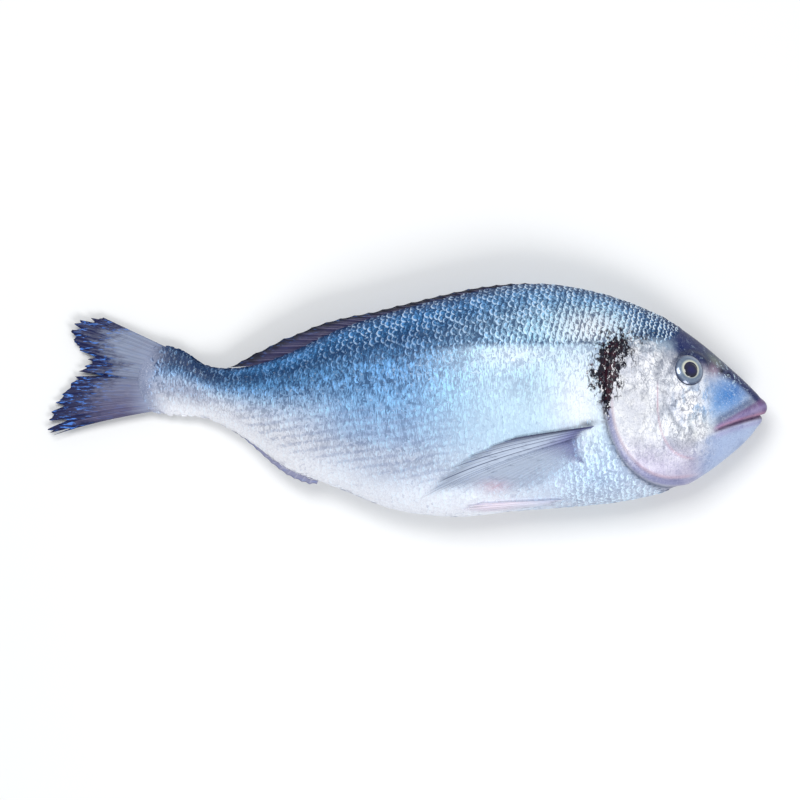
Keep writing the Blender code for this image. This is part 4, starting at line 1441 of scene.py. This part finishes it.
# %% The fins that lie against the flank
CHEST_FIN = {
    "centre": (100.0, -9.3),
    "angles": (187.6, 189.0, 192.0, 196.3, 197.5, 199.5, 203.0, 208.0, 213.4, 217.5, 220.5),
    "reach": (52.0, 61.0, 80.0, 100.3, 92.5, 84.0, 76.0, 68.0, 56.0, 41.0, 31.0),
    "root": (17.0, 28.0),
    "bend": (4.0, 4.0),
    "rays": 20,
    "tears": {2: 0.03, 6: 0.04},
    "ragged": 0.012,
    "frayed": 0.003,
    "rise": (1.6, 0.9),
}
PELVIC_FIN = {
    "centre": (92.0, -43.3),
    "angles": (182.4, 184.4, 186.2, 187.4),
    "reach": (58.0, 69.5, 64.0, 50.0),
    "root": (22.0, 24.0),
    "bend": (0.0, 0.0),
    "rays": 7,
    "tears": {},
    "ragged": 0.012,
    "frayed": 0.004,
    "rise": (2.0, 1.4),
}
LAID_PER_GAP, LAID_STEPS = 6, 70
LAID_SUNK, LAID_LEAST, LAST_RAY_SUNK, OVERLAP = 0.8 * MM, 0.1 * MM, 0.9, 0.15 * MM
LAID_RIB_SHARE = 0.6 * RIB_SHARE
VEIL_LOSS, VEIL_ACROSS = 0.95, (0.25, 1.0)
END_LOSS, END_OUT, END_ACROSS = 0.95, (0.72, 1.0), (0.03, 0.25)
ROOT_VEIL, ROOT_OUT, CLEAR_OUT, CLEAR_ACROSS = 0.6, (0.3, 0.08), (0.16, 0.02), (0.04, 0.2)
CHEST_PALE, CHEST_TOP, CHEST_LOW = colour(176, 188, 208), colour(72, 78, 104), colour(182, 192, 214)
CHEST_LINE, CHEST_DARK, CHEST_PINK = colour(44, 54, 88), colour(90, 98, 126), colour(214, 160, 176)
PELVIC_PALE, PELVIC_TIP = colour(216, 220, 236), colour(228, 204, 216)
PELVIC_LINE, PELVIC_DARK = colour(236, 232, 240), colour(214, 196, 208)


def veil_of(out, across):
    """How solid the sheet is: full at the upper edge, thin below, at the tips and at the root."""
    veil = 1 - VEIL_LOSS * smooth_step(*VEIL_ACROSS, across)
    veil = veil * (1 - END_LOSS * smooth_step(*END_OUT, out) * smooth_step(*END_ACROSS, across))
    veil = np.maximum(veil, ROOT_VEIL * smooth_step(*ROOT_OUT, out))
    return veil * (1 - smooth_step(*CLEAR_ACROSS, across) * smooth_step(*CLEAR_OUT, out))


def laid_fin(name, side, plan, tint):
    x, y, out, across, crest = fan(plan, LAID_PER_GAP, LAID_STEPS)
    flank = flank_height(x, y, side)
    root_rise, tip_rise = plan["rise"]
    rise = (root_rise + (tip_rise - root_rise) * out) * MM * (1 - LAST_RAY_SUNK * across**2)
    rise = rise * smooth_step(0.0, 0.06, out) - OVERLAP * (out < 0.01)
    profile = 1 - LAID_RIB_SHARE * (1 - crest)
    outer = np.maximum(pressed(flank + side * rise * profile) + side * OVERLAP, 0.0)
    inner = np.maximum(pressed(flank) - side * LAID_SUNK, LAID_LEAST)
    heights = (outer, inner) if side == RIGHT else (inner, outer)
    made = blade(name, x, y, *heights)
    split = 1 - forked(across, plan["rays"])
    crest = np.maximum(crest, 0.9 * split * smooth_step(0.35, 0.6, out))
    crest = crest * (1 - 0.2 * smooth_step(0.25, 0.6, across))
    store_fin(made, out, crest, tint(x, y, out, across), veil_of(out, across))
    return made


def chest_tint(x, y, out, across):
    tint = over(all_over(CHEST_PALE, x), CHEST_TOP, smooth_step(0.2, 0.0, across))
    tint = over(tint, CHEST_LOW, 0.75 * smooth_step(0.4, 0.9, across))
    tint = over(tint, FIN_VIOLET, 0.85 * smooth_step(0.4, 0.05, out))
    return over(tint, CHEST_PINK, 0.9 * spot(x, y, (39, -39), (7, 3)))


def pelvic_tint(x, y, out, across):
    return over(all_over(PELVIC_PALE, x), PELVIC_TIP, 0.5 * smooth_step(0.2, 0.7, out))


chest_fin_skin = fin_finish("chest_fin_skin", CHEST_LINE, CHEST_DARK, FAINT_TIPS, 0.9, 0.1)
pelvic_fin_skin = fin_finish("pelvic_fin_skin", PELVIC_LINE, PELVIC_DARK, FAINT_TIPS)
for side, word in SIDES:
    dress(laid_fin("chest_fin_" + word, side, CHEST_FIN, chest_tint), chest_fin_skin)
    dress(laid_fin("pelvic_fin_" + word, side, PELVIC_FIN, pelvic_tint), pelvic_fin_skin)

# %% [markdown]
# ## Floor, light and camera
# The fish is seen straight from above on plain white, so the floor is one pale sheet. It could be
# pure white, but a faint cloud in its shade keeps it from looking cut out.

# %% The floor
FLOOR_SIZE, FLOOR_SHADE, FLOOR_SPREAD = 6.0, 0.86, 0.01


def floor():
    deselect()
    bpy.ops.mesh.primitive_plane_add(size=FLOOR_SIZE, location=(0, 0, 0))
    made = bpy.context.object
    made.name = "floor"
    begin("pale_floor")
    cloud = noise(3.0, 2.0)
    shade = Wire.node("ShaderNodeValToRGB", {"stops": (
        (0.0, (FLOOR_SHADE - FLOOR_SPREAD,) * 3),
        (1.0, (FLOOR_SHADE + FLOOR_SPREAD,) * 3),
    )}, {0: cloud})
    made.data.materials.append(finish("pale_floor", {"Base Color": shade, "Roughness": 0.8}))


floor()

# %% [markdown]
# The light is soft. A bright sky alone would do, but two wide lamps, one behind the back and one in
# front of the belly, give the wet scales something to mirror.

# %% The light
# A lamp has its place, its width in metres and its power in watts.
LAMPS = {"key_lamp": ((-0.2, 0.5, 1.25), 0.6, 10.0), "fill_lamp": ((0.4, -0.7, 0.9), 0.5, 6.5)}
SKY_SHADE, SKY_STRENGTH, FISH_MIDDLE_Z = (0.92, 0.96, 1.0), 0.44, 0.02


def lamp(name, location, size, power):
    light = bpy.data.lights.new(name, "AREA")
    light.size, light.energy = size, power
    made = bpy.data.objects.new(name, light)
    made.location = location
    aim = Vector((0, 0, FISH_MIDDLE_Z)) - Vector(location)
    made.rotation_euler = aim.to_track_quat("-Z", "Y").to_euler()
    bpy.context.scene.collection.objects.link(made)


def sky():
    world = bpy.data.worlds.new("soft_sky")
    world.use_nodes = True
    background = world.node_tree.nodes["Background"]
    background.inputs["Color"].default_value = (*SKY_SHADE, 1.0)
    background.inputs["Strength"].default_value = SKY_STRENGTH
    bpy.context.scene.world = world


for name, settings in LAMPS.items():
    lamp(name, *settings)
sky()
print("lamps:", len(LAMPS))

# %% [markdown]
# The camera looks straight down. A wide lens close by would show the fish too, but it would bend the
# outline, so a long one from 1.5 m above keeps it as flat as in the picture.

# %% The camera
CAMERA_HEIGHT, SENSOR_WIDTH = 1.5, 36.0
FRAME_WIDTH, FRAME_CENTRE = 355.04 * MM, (-2.0 * MM, -0.2 * MM)


def camera():
    lens_data = bpy.data.cameras.new("camera")
    lens_data.sensor_width = SENSOR_WIDTH
    lens_data.lens = SENSOR_WIDTH * CAMERA_HEIGHT / FRAME_WIDTH
    made = bpy.data.objects.new("camera", lens_data)
    made.location = (*FRAME_CENTRE, FISH_MIDDLE_Z + CAMERA_HEIGHT)
    bpy.context.scene.collection.objects.link(made)
    bpy.context.scene.camera = made
    print("lens, mm:", round(lens_data.lens, 1))


camera()
bpy.context.scene.view_settings.view_transform = "Standard"
